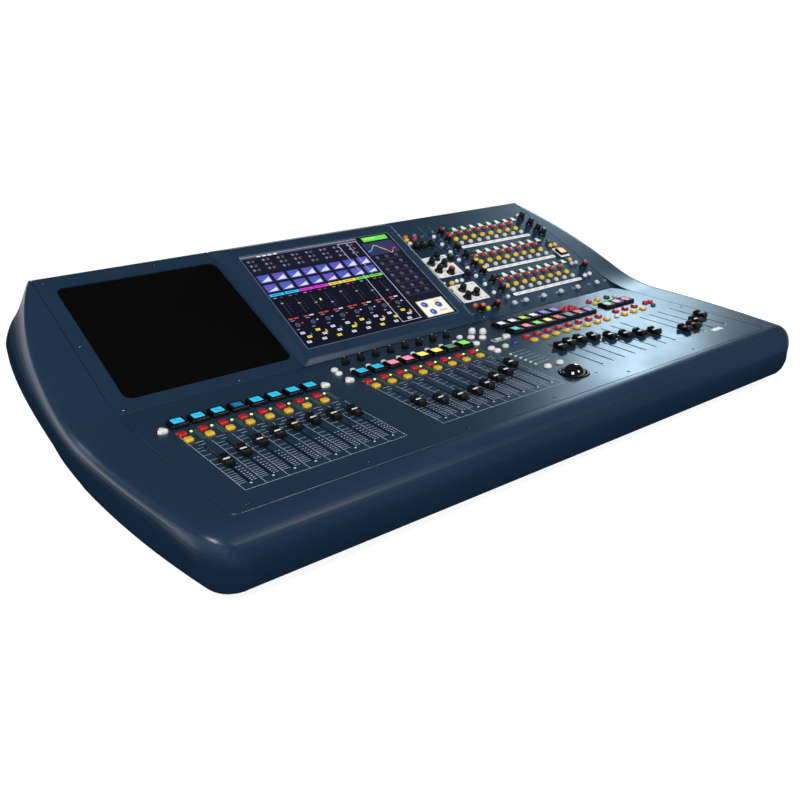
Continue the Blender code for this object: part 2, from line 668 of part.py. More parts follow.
def build_rear_panel(frame, material):
    """The upright connector panel under the top rear edge, square to the table."""
    top_w = math.tan(UPPER_TILT) * (REAR_V - CREASE_V) - 0.30
    lean = math.tan(DECK_TILT)
    bottom_w = FLOOR_W - (REAR_V - 1.3) * math.tan(DECK_TILT)
    thick = 0.0030 / PITCH
    drop = top_w - bottom_w
    outer_top = REAR_V - 0.04
    outline = [(outer_top, top_w), (outer_top - lean * drop, bottom_w),
               (outer_top - lean * drop - thick, bottom_w), (outer_top - thick, top_w)]
    bm = bmesh.new()
    half = SEAM_X * PITCH - GAP
    add_section(bm, [(v * PITCH, w * PITCH) for v, w in outline], -half, half)
    add_object("rear_panel", bm, material, frame)


def pan_floor(v):
    return FLOOR_W - v * math.tan(DECK_TILT)


def build_base_pan(frame, material):
    """A folded steel tray. Its rim stays below the fader bed and follows the meter deck."""
    rim_front, rim_rear = -1.30, 2.30
    outer = [(PAN_FRONT_V, pan_floor(PAN_FRONT_V)), (PAN_REAR_V, pan_floor(PAN_REAR_V)),
             (PAN_REAR_V, rim_rear), (CREASE_V + 0.6, rim_front), (PAN_FRONT_V, rim_front)]
    half = PAN_HALF_X * PITCH
    bm = bmesh.new()
    add_section(bm, [(v * PITCH, w * PITCH) for v, w in outer], -half, half)
    pan = add_object("base_pan", bm, material, frame)
    t = PAN_T / PITCH
    inner = [(PAN_FRONT_V + t, pan_floor(PAN_FRONT_V + t) + t), (PAN_REAR_V - t, pan_floor(PAN_REAR_V - t) + t),
             (PAN_REAR_V - t, rim_rear + 1.0), (PAN_FRONT_V + t, rim_rear + 1.0)]
    bm = bmesh.new()
    add_section(bm, [(v * PITCH, w * PITCH) for v, w in inner], -half + PAN_T, half - PAN_T)
    boolean(pan, add_object("base_pan_hollow", bm, material, frame), "DIFFERENCE")


def build_feet(frame, material):
    """Four rubber feet, flat on the table, under the level floor of the pan."""
    for name, x, v in (("foot_front_left", -14.5, 0.6), ("foot_front_right", 14.5, 0.6),
                       ("foot_rear_left", -14.5, 16.2), ("foot_rear_right", 14.5, 16.2)):
        profile = [(0.0, 0.0), (FOOT_R * 0.88, 0.0), (FOOT_R, 0.002), (FOOT_R, FOOT_H - GAP),
                   (0.0, FOOT_H - GAP)]
        bm = bmesh.new()
        add_turned(bm, profile, 20)
        foot = add_object(name, bm, material, None)
        place = frame.matrix_world @ Vector((x * PITCH, v * PITCH, pan_floor(v) * PITCH))
        foot.location = (place.x, place.y, 0.0)


def build_electronics(frame, board_material, metal):
    """The main board and the power supply stand on the floor of the pan."""
    def on_floor(name, x_span, v_span, lift, thick, material):
        corners = [(v, pan_floor(v) + (PAN_T + lift) / PITCH) for v in v_span]
        outline = corners + [(v, w + thick / PITCH) for v, w in reversed(corners)]
        bm = bmesh.new()
        add_section(bm, [(v * PITCH, w * PITCH) for v, w in outline], x_span[0] * PITCH, x_span[1] * PITCH)
        add_object(name, bm, material, frame)

    on_floor("main_board", (-13.0, 6.0), (3.0, 14.0), 0.008, 0.002, board_material)
    on_floor("power_supply", (8.0, 13.5), (6.0, 13.5), GAP, 0.045, metal)


def main():
    clear_scene()
    material = {name: make_material(name) for name in COLOURS}
    deck = make_frame("fader_deck_frame", (0.0, DECK_Y, DECK_Z), DECK_TILT)
    upper = make_frame("meter_deck_frame", (0.0, CREASE_V * PITCH, 0.0), UPPER_TILT, deck)
    bpy.context.view_layer.update()

    build_base_pan(deck, material["steel"])
    build_feet(deck, material["foot_rubber"])
    build_electronics(deck, material["board_green"], material["steel"])
    build_rear_panel(deck, material["navy_panel"])
    build_side_pods(deck, material["navy_shell"])
    build_front_armrest(deck, material["navy_shell"])
    build_lower_panel(deck, material["navy_panel"])
    build_upper_panels(upper, material["navy_panel"])
    build_bay_tray(upper, material["black_tray"])
    build_display(upper, material["navy_shell"], material["screen_glass"])
    build_fader_bed(deck, material["steel"])
    build_faders(deck, material["black_plastic"])
    build_encoders(deck, material["black_plastic"])
    build_trackball(deck, material["gloss_black"], material["black_plastic"])
    build_key_mats(deck, upper, material["key_rubber"])


main()
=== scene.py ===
import math

import bmesh
import bpy
from mathutils import Matrix, Vector


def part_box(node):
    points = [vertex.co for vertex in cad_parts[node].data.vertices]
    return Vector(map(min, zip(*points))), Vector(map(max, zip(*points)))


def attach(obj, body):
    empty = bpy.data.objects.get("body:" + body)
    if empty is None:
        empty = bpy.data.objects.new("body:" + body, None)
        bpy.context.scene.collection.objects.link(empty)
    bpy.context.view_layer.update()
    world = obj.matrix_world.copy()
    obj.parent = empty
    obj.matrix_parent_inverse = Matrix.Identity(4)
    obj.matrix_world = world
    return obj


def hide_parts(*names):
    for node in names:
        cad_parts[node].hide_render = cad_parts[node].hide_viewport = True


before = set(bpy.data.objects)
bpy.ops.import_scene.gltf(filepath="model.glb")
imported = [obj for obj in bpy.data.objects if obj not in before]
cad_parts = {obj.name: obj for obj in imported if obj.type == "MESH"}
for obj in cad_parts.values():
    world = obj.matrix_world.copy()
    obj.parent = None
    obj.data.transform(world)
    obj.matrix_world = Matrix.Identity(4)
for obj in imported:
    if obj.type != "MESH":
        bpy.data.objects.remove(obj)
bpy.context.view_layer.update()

# ---------------------------------------------------------------- dimensions shared with the part
PITCH = 0.030
DECK_TILT = math.radians(8.0)
UPPER_TILT = math.radians(22.1)
CREASE_V = 9.218
REAR_V = 19.40
SEAM_X = 17.6
PANEL_T = 0.0025
NOSE_R = 1.47
NOSE_V = -2.10
PANEL_FRONT_V = -2.0
CORNER_R = 1.6
SEAM_GAP = 0.0010
SLOPE_END = (REAR_V - CREASE_V) / math.cos(UPPER_TILT)

SLOT_TOP_V = 3.877
ROW_RED_V = 5.54
ROW_YELLOW_V = 4.86
ROW_LCD_V = 6.64
ROW_LCD_REAR_V = 7.84
ROW_SELECT_V = 7.30
LCD_HALF = 0.43
STRIP_ROWS = (3.17, 5.93, 8.68)
STRIP_X0 = 9.44
STRIP_PITCH = 0.806
DISPLAY_X = (-7.10, 4.75)
DISPLAY_S = (0.38, 9.70)
DISPLAY_RISE = (0.18, 0.85)
DISPLAY_FLANK = 0.42
GLASS_X = (-6.62, 4.00)
GLASS_S = (1.05, 8.95)
BAY_X = (-16.75, -7.62)
BAY_S = (0.85, 9.95)
BAY_CORNER = 0.45

DECK = Matrix.Translation((0.0, -0.25247, 0.1065)) @ Matrix.Rotation(DECK_TILT, 4, "X")
UPPER = DECK @ Matrix.Translation((0.0, CREASE_V * PITCH, 0.0)) @ Matrix.Rotation(UPPER_TILT, 4, "X")

EDGE = 0.0004
PANEL_LEVELS = ((0.0, -PANEL_T), (0.0, -EDGE), (EDGE, 0.0))
QUARTER_TURN = [math.pi / 16.0 * k for k in range(9)]
SEAM_CORNER = 0.45 * PITCH


def local_box(node, matrix):
    """A CAD node's lowest and highest corner in a deck's own axes."""
    inverse = matrix.inverted()
    points = [inverse @ vertex.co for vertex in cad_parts[node].data.vertices]
    return (Vector([min(p[axis] for p in points) for axis in range(3)]),
            Vector([max(p[axis] for p in points) for axis in range(3)]))


def bank_places(bank, count):
    """Middle of each fader of a bank, in metres on the deck, as the frame has it."""
    places = []
    for k in range(count):
        low, high = local_box(f"fader_{bank}_{k + 1}", DECK)
        places.append(((low.x + high.x) / 2.0, (low.y + high.y) / 2.0))
    return places


FADERS = {bank: bank_places(bank, count)
          for bank, count in (("left", 8), ("centre", 8), ("group", 8), ("output", 4))}


def deck_point(x, v):
    return x * PITCH, v * PITCH


def area(x_span, v_span):
    """Middle and half size in metres of a rectangle that is given in pitches."""
    return (((x_span[0] + x_span[1]) / 2.0 * PITCH, (v_span[0] + v_span[1]) / 2.0 * PITCH),
            ((x_span[1] - x_span[0]) / 2.0 * PITCH, (v_span[1] - v_span[0]) / 2.0 * PITCH))


def around(count, start=0.0):
    """Evenly spaced angles of a full circle."""
    return [start + 2.0 * math.pi * k / count for k in range(count)]


def polar(centre, radius, angle):
    return centre[0] + radius * math.cos(angle), centre[1] + radius * math.sin(angle)


def flat(low, high, reach=0.0):
    """Two levels with the same inset or radius, from one height to another."""
    return (reach, low), (reach, high)


# ---------------------------------------------------------------- materials

GLOSS_SPREAD = 0.12


def set_sockets(node, values):
    """Set a node's constants directly on its sockets."""
    for socket, value in values.items():
        node.inputs[socket].default_value = value


def finish(name, colour, roughness, metallic=0.0, variation=0.10, patch=9.0, grain=1400.0, bump=0.05,
           coat=0.0, coat_roughness=0.12, glow=0.0, subsurface=0.0, specular=0.5):
    """A Principled material with uneven colour, uneven roughness and a fine surface grain."""
    material = bpy.data.materials.new(name)
    material.use_nodes = True
    shader = material.node_tree.nodes["Principled BSDF"]
    new = material.node_tree.nodes.new
    link = material.node_tree.links.new
    set_sockets(shader, {"Metallic": metallic, "Specular IOR Level": specular, "Coat Weight": coat,
                         "Coat Roughness": coat_roughness})
    if subsurface:
        set_sockets(shader, {"Subsurface Weight": subsurface, "Subsurface Radius": (0.002, 0.002, 0.002),
                             "Subsurface Scale": 1.0})
    if glow:
        set_sockets(shader, {"Emission Color": (*colour, 1.0), "Emission Strength": glow})

    place = new("ShaderNodeTexCoord")
    broad = new("ShaderNodeTexNoise")
    set_sockets(broad, {"Scale": patch, "Detail": 4.0})
    link(place.outputs["Object"], broad.inputs["Vector"])
    tint = new("ShaderNodeMix")
    tint.data_type = "RGBA"
    set_sockets(tint, {"A": (*[c * (1.0 - variation) for c in colour], 1.0),
                       "B": (*[min(c * (1.0 + variation), 1.0) for c in colour], 1.0)})
    link(broad.outputs["Fac"], tint.inputs["Factor"])
    link(tint.outputs["Result"], shader.inputs["Base Color"])

    gloss = new("ShaderNodeMapRange")
    set_sockets(gloss, {"From Min": 0.3, "From Max": 0.7, "To Min": roughness * (1.0 - GLOSS_SPREAD),
                        "To Max": min(roughness * (1.0 + GLOSS_SPREAD), 1.0)})
    link(broad.outputs["Fac"], gloss.inputs["Value"])
    link(gloss.outputs["Result"], shader.inputs["Roughness"])

    fine = new("ShaderNodeTexNoise")
    set_sockets(fine, {"Scale": grain, "Detail": 2.0})
    link(place.outputs["Object"], fine.inputs["Vector"])
    dents = new("ShaderNodeBump")
    set_sockets(dents, {"Strength": bump, "Distance": 0.0002})
    link(fine.outputs["Fac"], dents.inputs["Height"])
    link(dents.outputs["Normal"], shader.inputs["Normal"])
    return material


NAVY = (0.0100, 0.0275, 0.0560)
SHELL = finish("shell_paint", NAVY, 0.32, bump=0.06, grain=1100.0, specular=0.40)
# Painted shade: the flanks and the nose take darker, duller copies of the top's paint, in even steps from the
# ridge down
BAND_COUNT = 12
LAST_BAND = BAND_COUNT - 1
REAR_BAND = 2
FIRST_BAND_LINE = 14
FLANK_LINES = 17


def shaded_shell_band(number):
    """The shell's paint with painted shade, a number of steps below the ridge: darker and less shiny the
    further down.
    """
    shade_depth = number / LAST_BAND
    colour = tuple((1.0 - 0.46 * shade_depth) * c for c in NAVY)
    return finish(f"shell_shade_{number}", colour, 0.32 + 0.13 * shade_depth, bump=0.08, grain=1100.0,
                  specular=0.40 * (1.0 - shade_depth) ** 3)


SHELL_SHADE_BANDS = [SHELL] + [shaded_shell_band(number) for number in range(1, BAND_COUNT)]
PANEL = finish("panel_paint", (0.0095, 0.0270, 0.0530), 0.31, bump=0.03, grain=1600.0, specular=0.42)
TRAY = finish("tray_black", (0.0016, 0.0016, 0.0018), 0.80, specular=0.03, bump=0.2)
CAP = finish("cap_black", (0.0030, 0.0030, 0.0036), 0.34, bump=0.10, grain=2500.0, specular=0.28)
BEZEL = finish("bezel_black", (0.0022, 0.0022, 0.0028), 0.26, bump=0.04, specular=0.22)
GLOSS = finish("gloss_black", (0.003, 0.003, 0.004), 0.05, bump=0.0, coat=1.0, coat_roughness=0.03)
SCREEN = finish("screen_dark", (0.004, 0.005, 0.012), 0.16, bump=0.0, specular=0.3, glow=0.3)
GREY_LINE = finish("screen_rim", (0.16, 0.20, 0.25), 0.35, metallic=0.4)
INK = finish("ink_white", (0.62, 0.68, 0.74), 0.55, variation=0.12, patch=60.0)
INK_FAINT = finish("ink_faint", (0.16, 0.22, 0.30), 0.55, variation=0.2, patch=60.0)
SLOT = finish("slot_black", (0.001, 0.001, 0.0012), 0.8, specular=0.1)
WHITE_PLATE = finish("plate_white", (0.80, 0.80, 0.80), 0.45, variation=0.04, patch=40.0)
LINE = finish("cap_line", (0.85, 0.85, 0.82), 0.35, variation=0.05)
LINE_RED = finish("cap_line_red", (0.55, 0.10, 0.08), 0.35)
SCREW = finish("screw_zinc", (0.30, 0.33, 0.37), 0.32, metallic=1.0, bump=0.15)
ZINC = finish("pan_zinc", (0.36, 0.37, 0.38), 0.42, metallic=1.0, bump=0.2, patch=22.0, grain=500.0)
RUBBER = finish("foot_rubber", (0.012, 0.012, 0.012), 0.85, bump=0.5)
BOARD = finish("board_green", (0.015, 0.10, 0.04), 0.45, bump=0.2, grain=700.0)
SOCKET = finish("socket_black", (0.010, 0.010, 0.011), 0.5, bump=0.1)


def key_finish(name, colour):
    return finish(f"key_{name}", colour, 0.32, patch=90.0, subsurface=0.15, coat=0.25, coat_roughness=0.2)


KEY_COLOURS = {
    "red": (0.45, 0.008, 0.008), "yellow": (0.72, 0.44, 0.012), "lime": (0.62, 0.60, 0.02),
    "white": (0.70, 0.69, 0.68), "grey": (0.50, 0.53, 0.55), "pale_green": (0.48, 0.62, 0.46),
    "green": (0.008, 0.075, 0.035), "blue": (0.012, 0.030, 0.140), "violet": (0.030, 0.025, 0.42),
    "orange": (0.70, 0.12, 0.010), "lilac": (0.20, 0.10, 0.30), "crimson": (0.42, 0.008, 0.035),
}
KEYS = {name: key_finish(name, colour) for name, colour in KEY_COLOURS.items()}


def glow_finish(name, colour, strength=0.55):
    return finish(name, colour, 0.35, variation=0.05, patch=60.0, bump=0.0, glow=strength, specular=0.06)


LCD_PAINTS = {
    "cyan": (0.025, 0.40, 0.62), "dim": (0.010, 0.090, 0.18), "pink": (0.78, 0.22, 0.33),
    "rose": (0.70, 0.10, 0.14), "amber": (0.82, 0.70, 0.14), "moss": (0.10, 0.20, 0.10),
    "green": (0.18, 0.70, 0.10), "olive": (0.42, 0.60, 0.05), "white": (0.62, 0.64, 0.80),
    "lilac": (0.26, 0.20, 0.70), "slate": (0.16, 0.24, 0.22), "peach": (0.85, 0.45, 0.25),
    "aqua": (0.10, 0.50, 0.55),
}
GLOWS = {name: glow_finish(f"lcd_{name}", colour) for name, colour in LCD_PAINTS.items()}
LED = glow_finish("led_yellow", (0.75, 0.80, 0.15), 1.2)
METER = glow_finish("meter_green", (0.05, 0.22, 0.09), 0.5)


# ---------------------------------------------------------------- shape builder

class Piece:
    """Collects shapes that ride on one body, each with its own material."""

    def __init__(self, name):
        self.name = name
        self.bm = bmesh.new()
        self.materials = []

    def index(self, material):
        if material not in self.materials:
            self.materials.append(material)
        return self.materials.index(material)

    def rings(self, rings, material, tube=False):
        """Skin over rings of points with equal counts, capped at both ends or closed to a tube."""
        slot = self.index(material)
        layers = [[self.bm.verts.new(point) for point in ring] for ring in rings]
        upper_layers = layers[1:] + (layers[:1] if tube else [])
        for lower, upper in zip(layers, upper_layers):
            for k in range(len(lower)):
                n = (k + 1) % len(lower)
                self.bm.faces.new((lower[k], lower[n], upper[n], upper[k])).material_index = slot
        if not tube:
            self.bm.faces.new(list(reversed(layers[0]))).material_index = slot
            self.bm.faces.new(layers[-1]).material_index = slot

    def block(self, centre, half, radius, levels, material, steps=4):
        """A rounded rectangle raised through (inset, height) levels."""
        rings = []
        for inset, height in levels:
            corner = max(radius - inset, 0.12 * radius)
            outline = rounded((half[0] - inset, half[1] - inset), corner, steps)
            rings.append([(centre[0] + x, centre[1] + y, height) for x, y in outline])
        self.rings(rings, material)

    def turned(self, centre, profile, material, segments=24, flutes=0, depth=0.0, start=0.0):
        """A (radius, height) profile turned about the deck's normal, with flutes if asked."""
        rings = []
        for radius, height in profile:
            ring = []
            for angle in around(segments, start):
                wave = 1.0 - depth * (0.5 + 0.5 * math.cos(flutes * angle)) if flutes else 1.0
                ring.append((*polar(centre, radius * wave, angle), height))
            rings.append(ring)
        self.rings(rings, material)

    def plate(self, x_span, y_span, low, high, material):
        """A thin rectangular plate, such as printed ink or a label."""
        corners = [(x_span[0], y_span[0]), (x_span[1], y_span[0]), (x_span[1], y_span[1]),
                   (x_span[0], y_span[1])]
        self.rings([[(x, y, z) for x, y in corners] for z in (low, high)], material)

    def bar(self, x_span, v_span, low, high, material):
        """A plate whose spans are in pitches."""
        self.plate([x * PITCH for x in x_span], [v * PITCH for v in v_span], low, high, material)

    def shape(self, matrix):
        """The collected shapes as one object, moved to their place."""
        bmesh.ops.recalc_face_normals(self.bm, faces=self.bm.faces)
        mesh = bpy.data.meshes.new(self.name)
        self.bm.to_mesh(mesh)
        self.bm.free()
        for material in self.materials:
            mesh.materials.append(material)
        mesh.transform(matrix)
        item = bpy.data.objects.new(self.name, mesh)
        bpy.context.scene.collection.objects.link(item)
        return item

    def place(self, matrix, body, slot, replaced=(), smooth=30.0):
        item = self.shape(matrix)
        item.data.shade_smooth()
        item.data.set_sharp_from_angle(angle=math.radians(smooth))
        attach(item, body)
        if replaced:
            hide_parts(*replaced)
        return item


def rounded(half, radius, steps):
    """A rounded rectangle about the origin, counter-clockwise."""
    points = []
    for quarter, (sx, sy) in enumerate(((1, 1), (-1, 1), (-1, -1), (1, -1))):
        cx, cy = sx * (half[0] - radius), sy * (half[1] - radius)
        for k in range(steps + 1):
            angle = (quarter + k / steps) * math.pi / 2.0
            points.append(polar((cx, cy), radius, angle))
    return points


# ---------------------------------------------------------------- the moulded body

def deck_top(v):
    blend = 1.8
    slope = math.tan(UPPER_TILT)
    if v <= CREASE_V - blend:
        return 0.0
    if v >= CREASE_V + blend:
        return slope * (v - CREASE_V)
    return slope * (v - CREASE_V + blend) ** 2 / (4.0 * blend)


REAR_MIDDLE = 1.3
REAR_REACH = 1.1


def rear_arc(v):
    return math.sqrt(max(1.0 - ((v - REAR_V) / REAR_REACH) ** 2, 0.0))


def pod_top(v):
    if v < NOSE_V:
        return -NOSE_R + math.sqrt(max(NOSE_R ** 2 - (v - NOSE_V) ** 2, 0.0))
    if v > REAR_V:
        return REAR_MIDDLE + (deck_top(REAR_V) - REAR_MIDDLE) * rear_arc(v)
    return deck_top(v)


def pod_bottom(v):
    if v < NOSE_V:
        return -NOSE_R - math.sqrt(max(NOSE_R ** 2 - (v - NOSE_V) ** 2, 0.0))
    bend, low, rear = 8.5, -3.05, -1.2
    if v < bend:
        return -2.0 * NOSE_R + (low + 2.0 * NOSE_R) * (v - NOSE_V) / (bend - NOSE_V)
    if v <= REAR_V:
        return low + (rear - low) * (v - bend) / (REAR_V - bend)
    return REAR_MIDDLE + (rear - REAR_MIDDLE) * rear_arc(v)


def ridge_half_width(v):
    waist = 8.0
    half = 19.95
    if v < waist:
        half -= 0.0087 * (v - waist) ** 2
    else:
        half -= 0.00138 * (min(v, REAR_V) - waist) ** 3
    corner = NOSE_V - NOSE_R + CORNER_R
    if v < corner:
        reach = min((corner - v) / (corner - NOSE_V + NOSE_R), 1.0)
        half -= CORNER_R * (1.0 - math.sqrt(max(1.0 - reach ** 2, 0.0)))
    return half


def flank_swell(v):
    return 0.0145 * max(min(v, REAR_V) - 9.0, 0.0) ** 2


def ease(v, start, end):
    """0 before the start, 1 after the end, and a smooth change between."""
    t = min(max((v - start) / (end - start), 0.0), 1.0)
    return t * t * (3.0 - 2.0 * t)


def pod_rows(v):
    """The bends of a side pod's section as (x, depth below the top edge), in pitches."""
    height = pod_top(v) - pod_bottom(v)
    ridge = ridge_half_width(v)
    scale = min(height / 2.9, 1.0)
    swell = flank_swell(v)
    rear = ease(v, 4.0, 12.0)
    dip = 0.50 * (1.0 - rear) * ease(v, -3.2, 1.5)
    bulge = 0.10 * (1.0 - rear) * scale
    tuck = 0.85 * (1.0 - 0.6 * rear)
    ridge += 0.05 * (1.0 - rear) - 0.9 * max(v - REAR_V, 0.0) ** 2
    rows = [(SEAM_X, 0.0), (SEAM_X + 0.6 * (ridge - 0.45 * scale - SEAM_X), 0.0)]
    rows += [(ridge - inset * scale, drop * scale)
             for inset, drop in ((0.45, 0.0), (0.14, 0.09), (0.0, 0.32))]
    rows.append((ridge + 0.35 * swell - 0.50 * dip + 0.15 * bulge, 0.26 * height))
    rows.append((ridge + 0.75 * swell - 0.60 * dip + 0.45 * bulge, 0.42 * height))
    rows.append((ridge + swell - 0.30 * dip + 0.90 * bulge, 0.62 * height))
    rows.append((ridge + 0.9 * swell - 0.25 * tuck * scale + 0.90 * bulge, 0.80 * height))
    rows.append((ridge + 0.6 * swell - 0.6 * tuck * scale + 0.60 * bulge, 0.94 * height))
    rows.append((ridge + 0.2 * swell - 1.1 * tuck * scale + 0.20 * bulge, height))
    rows.append((SEAM_X, height))
    return [(max(x, SEAM_X), drop) for x, drop in rows]


def smooth_line(points, per_span):
    """A Catmull-Rom line through the points."""
    line = []
    last = len(points) - 1
    for k in range(last):
        p0, p1, p2, p3 = (Vector(points[max(min(k + step, last), 0)]) for step in (-1, 0, 1, 2))
        for part in range(per_span):
            t = part / per_span
            line.append(0.5 * (2.0 * p1 + (p2 - p0) * t + (2.0 * p0 - 5.0 * p1 + 4.0 * p2 - p3) * t ** 2
                               + (3.0 * p1 - p0 - 3.0 * p2 + p3) * t ** 3))
    line.append(Vector(points[-1]))
    return line


def pod_stations():
    nose = [NOSE_V - NOSE_R * math.sin(math.radians(86.0 - 8.0 * k)) for k in range(11)]
    nose.append(NOSE_V)
    steps = 58
    along = [PANEL_FRONT_V + (REAR_V - PANEL_FRONT_V) * k / steps for k in range(steps + 1)]
    rear = [REAR_V + REAR_REACH * math.sin(math.radians(10.0 * k)) for k in range(1, 9)]
    return nose + along + rear


def nose_shade_band(number):
    """Painted-shade step of the strip after a station, darker the further it turns round the nose."""
    angle = 82.0 - 8.0 * number
    return min(max(round((angle - 24.0) / 62.0 * LAST_BAND), 0), LAST_BAND)


def add_pod(bm, side, stations):
    """One side pod: a skin from the nose to the rear, closed towards the deck."""
    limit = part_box("side_pod_right")[1].x - 0.0002
    rings = []
    for v in stations:
        top = pod_top(v)
        ring = []
        for x, drop in smooth_line(pod_rows(v), 5):
            across = min(max(x, SEAM_X) * PITCH, limit)
            ring.append(bm.verts.new((side * across, v * PITCH, (top - max(drop, 0.0)) * PITCH)))
        rings.append(ring)
    # Painted shade: each face takes a darker copy of the paint the further down the flank or round the nose
    # it lies
    for number, (lower, upper) in enumerate(zip(rings, rings[1:])):
        for k in range(len(lower) - 1):
            face = bm.faces.new((lower[k], lower[k + 1], upper[k + 1], upper[k]))
            band = (k - FIRST_BAND_LINE) * LAST_BAND // FLANK_LINES
            face.material_index = max(min(band, LAST_BAND), nose_shade_band(number))
    # The end caps and the inner wall get painted shade too: darkest at the front cap and the inner wall, a
    # light step at the rear cap
    bm.faces.new(rings[0]).material_index = LAST_BAND
    bm.faces.new(rings[-1]).material_index = REAR_BAND
    start = stations.index(PANEL_FRONT_V)
    for lower, upper in zip(rings[start:], rings[start + 1:]):
        bm.faces.new((lower[0], upper[0], upper[-1], lower[-1])).material_index = LAST_BAND


def add_armrest(bm, stations):
    """The front armrest between the pods."""
    half = SEAM_X * PITCH
    front = stations[:stations.index(PANEL_FRONT_V) + 1]
    section = [(v, pod_top(v)) for v in reversed(front)] + [(v, pod_bottom(v)) for v in front]
    columns = 12
    grid = [[bm.verts.new((-half + 2.0 * half * c / columns, v * PITCH, w * PITCH)) for v, w in section]
            for c in range(columns + 1)]
    arc = len(front)
    # Painted shade: the nose darkens in steps round its curve and the underside takes the darkest step
    for left, right in zip(grid, grid[1:]):
        for k in range(len(section)):
            n = (k + 1) % len(section)
            face = bm.faces.new((left[k], left[n], right[n], right[k]))
            face.material_index = nose_shade_band(arc - 2 - k) if k < arc - 1 else LAST_BAND


def build_shell():
    """Both side pods and the front armrest as one moulded skin, watertight."""
    shell = Piece("moulded_shell")
    for material in SHELL_SHADE_BANDS:
        shell.index(material)
    stations = pod_stations()
    for side in (-1, 1):
        add_pod(shell.bm, side, stations)
    add_armrest(shell.bm, stations)
    bmesh.ops.remove_doubles(shell.bm, verts=shell.bm.verts, dist=0.00002)

    half = SEAM_X * PITCH
    front = PANEL_FRONT_V * PITCH
    for side in (-1, 1):
        outline = [(side * half, front)]
        outline += [(side * (half - SEAM_CORNER + SEAM_CORNER * math.sin(a)), front + SEAM_CORNER
                     - SEAM_CORNER * math.cos(a)) for a in reversed(QUARTER_TURN)]
        shell.rings([[(x, y, z) for x, y in outline] for z in (-0.008, 0.0)], SHELL)
    shell.place(DECK, "console", "navy_shell", ("side_pod_left", "side_pod_right", "front_armrest"), 50.0)


# ---------------------------------------------------------------- deck panels

def cut(item, cutter):
    """Cut holes with a second object and apply the result."""
    modifier = item.modifiers.new("holes", "BOOLEAN")
    modifier.operation = "DIFFERENCE"
    modifier.solver = "EXACT"
    modifier.object = cutter
    graph = bpy.context.evaluated_depsgraph_get()
    mesh = bpy.data.meshes.new_from_object(item.evaluated_get(graph))
    old = item.data
    item.modifiers.clear()
    item.data = mesh
    bpy.data.meshes.remove(old)
    bpy.data.objects.remove(cutter, do_unlink=True)
    for polygon in item.data.polygons:
        polygon.use_smooth = False


def centre_of(node):
    """Middle of a CAD node on the fader deck, with half its width and its top."""
    low, high = local_box(node, DECK)
    return ((low.x + high.x) / 2.0, (low.y + high.y) / 2.0), (high.x - low.x) / 2.0, high.z


ENCODERS = [centre_of(f"encoder_{number}")[0] for number in range(1, 9)]
BALL, BALL_R, BALL_TOP = centre_of("trackball")
BALL_Z = (local_box("trackball", DECK)[0].z + BALL_TOP) / 2.0

KEY_SHIFT = {"left": -0.29, "centre": -0.29, "group": -0.115, "output": -0.29}
LCD_SHIFT = {"left": 0.0, "centre": 0.09, "group": 0.12, "output": 0.17}
LCD_COLOURS = {
    "left": ("cyan", "cyan", "cyan", "dim", "cyan", "cyan", "cyan", "cyan"),
    "centre": ("cyan", "cyan", "pink", "pink", "amber", "amber", "moss", "green"),
    "group": ("aqua", "pink", "green", "amber", "rose", "slate", "rose", "lilac"),
    "output": ("green", "pink", "rose"),
}
REAR_COLOURS = ("white", "white", "olive", "white", "lilac", "lilac")
# Keys as (x, v, half size in mm, shape, colour): "wing" keys are the large rounded triangles
NAV_KEYS = (
    (3.27, 8.02, 6.4, "tall", "white"), (3.74, 7.60, 6.4, "tall", "white"),
    (2.62, 7.38, 6.6, "dome", "white"), (3.13, 6.96, 6.6, "dome", "white"),
    (2.10, 7.78, 5.3, "dome", "white"), (2.15, 6.42, 6.6, "dome", "white"),
    (4.33, 6.28, 8.3, "wing", "white"), (3.16, 5.11, 5.8, "dome", "pale_green"),
    (3.97, 5.17, 5.8, "bar", "violet"), (2.28, 5.31, 6.4, "dome", "white"),
    (2.28, 4.84, 6.4, "dome", "white"), (2.74, 1.50, 6.4, "dome", "white"),
    (3.66, 1.50, 6.4, "dome", "white"),
)
GROUP_KEYS = (
    *((x, v, 4.8, "dome", "red") for v in (7.92, 7.48) for x in (10.68, 11.14, 11.60)),
    (13.34, 7.91, 6.0, "dome", "crimson"), (14.20, 7.91, 6.0, "dome", "yellow"),
    (15.04, 7.87, 6.0, "dome", "green"), (13.40, 7.44, 4.8, "dome", "lime"),
    (15.66, 7.70, 4.8, "dome", "pale_green"),
    (12.42, 4.87, 5.3, "dome", "white"), (16.04, 5.54, 5.8, "dome", "crimson"),
    (16.48, 5.50, 5.8, "dome", "crimson"), (16.03, 4.91, 4.8, "dome", "green"),
)
WINGS = {
    "left": ((-16.58, 6.35, 8.3, "wing", "white"), (-7.98, 6.45, 8.3, "wing", "white")),
    "centre": ((-6.62, 6.28, 8.3, "wing", "white"), (-6.45, 7.86, 5.8, "dome", "white"),
               (-6.55, 7.32, 5.8, "dome", "white")),
}


def keyed_faders(bank):
    """Places of the faders that have keys: the last output fader has none."""
    return FADERS[bank][:3] if bank == "output" else FADERS[bank]


def key_list(bank):
    """The mute and solo keys of a bank."""
    return [(x / PITCH + KEY_SHIFT[bank], row, 6.0, "square", colour) for x, _ in keyed_faders(bank)
            for row, colour in ((ROW_RED_V, "red"), (ROW_YELLOW_V, "yellow"))]


def lcd_list(bank, row=ROW_LCD_V, colours=None):
    """The key displays of a bank in one row."""
    return [(x / PITCH + LCD_SHIFT[bank], row, colour)
            for (x, _), colour in zip(keyed_faders(bank), colours or LCD_COLOURS[bank])]


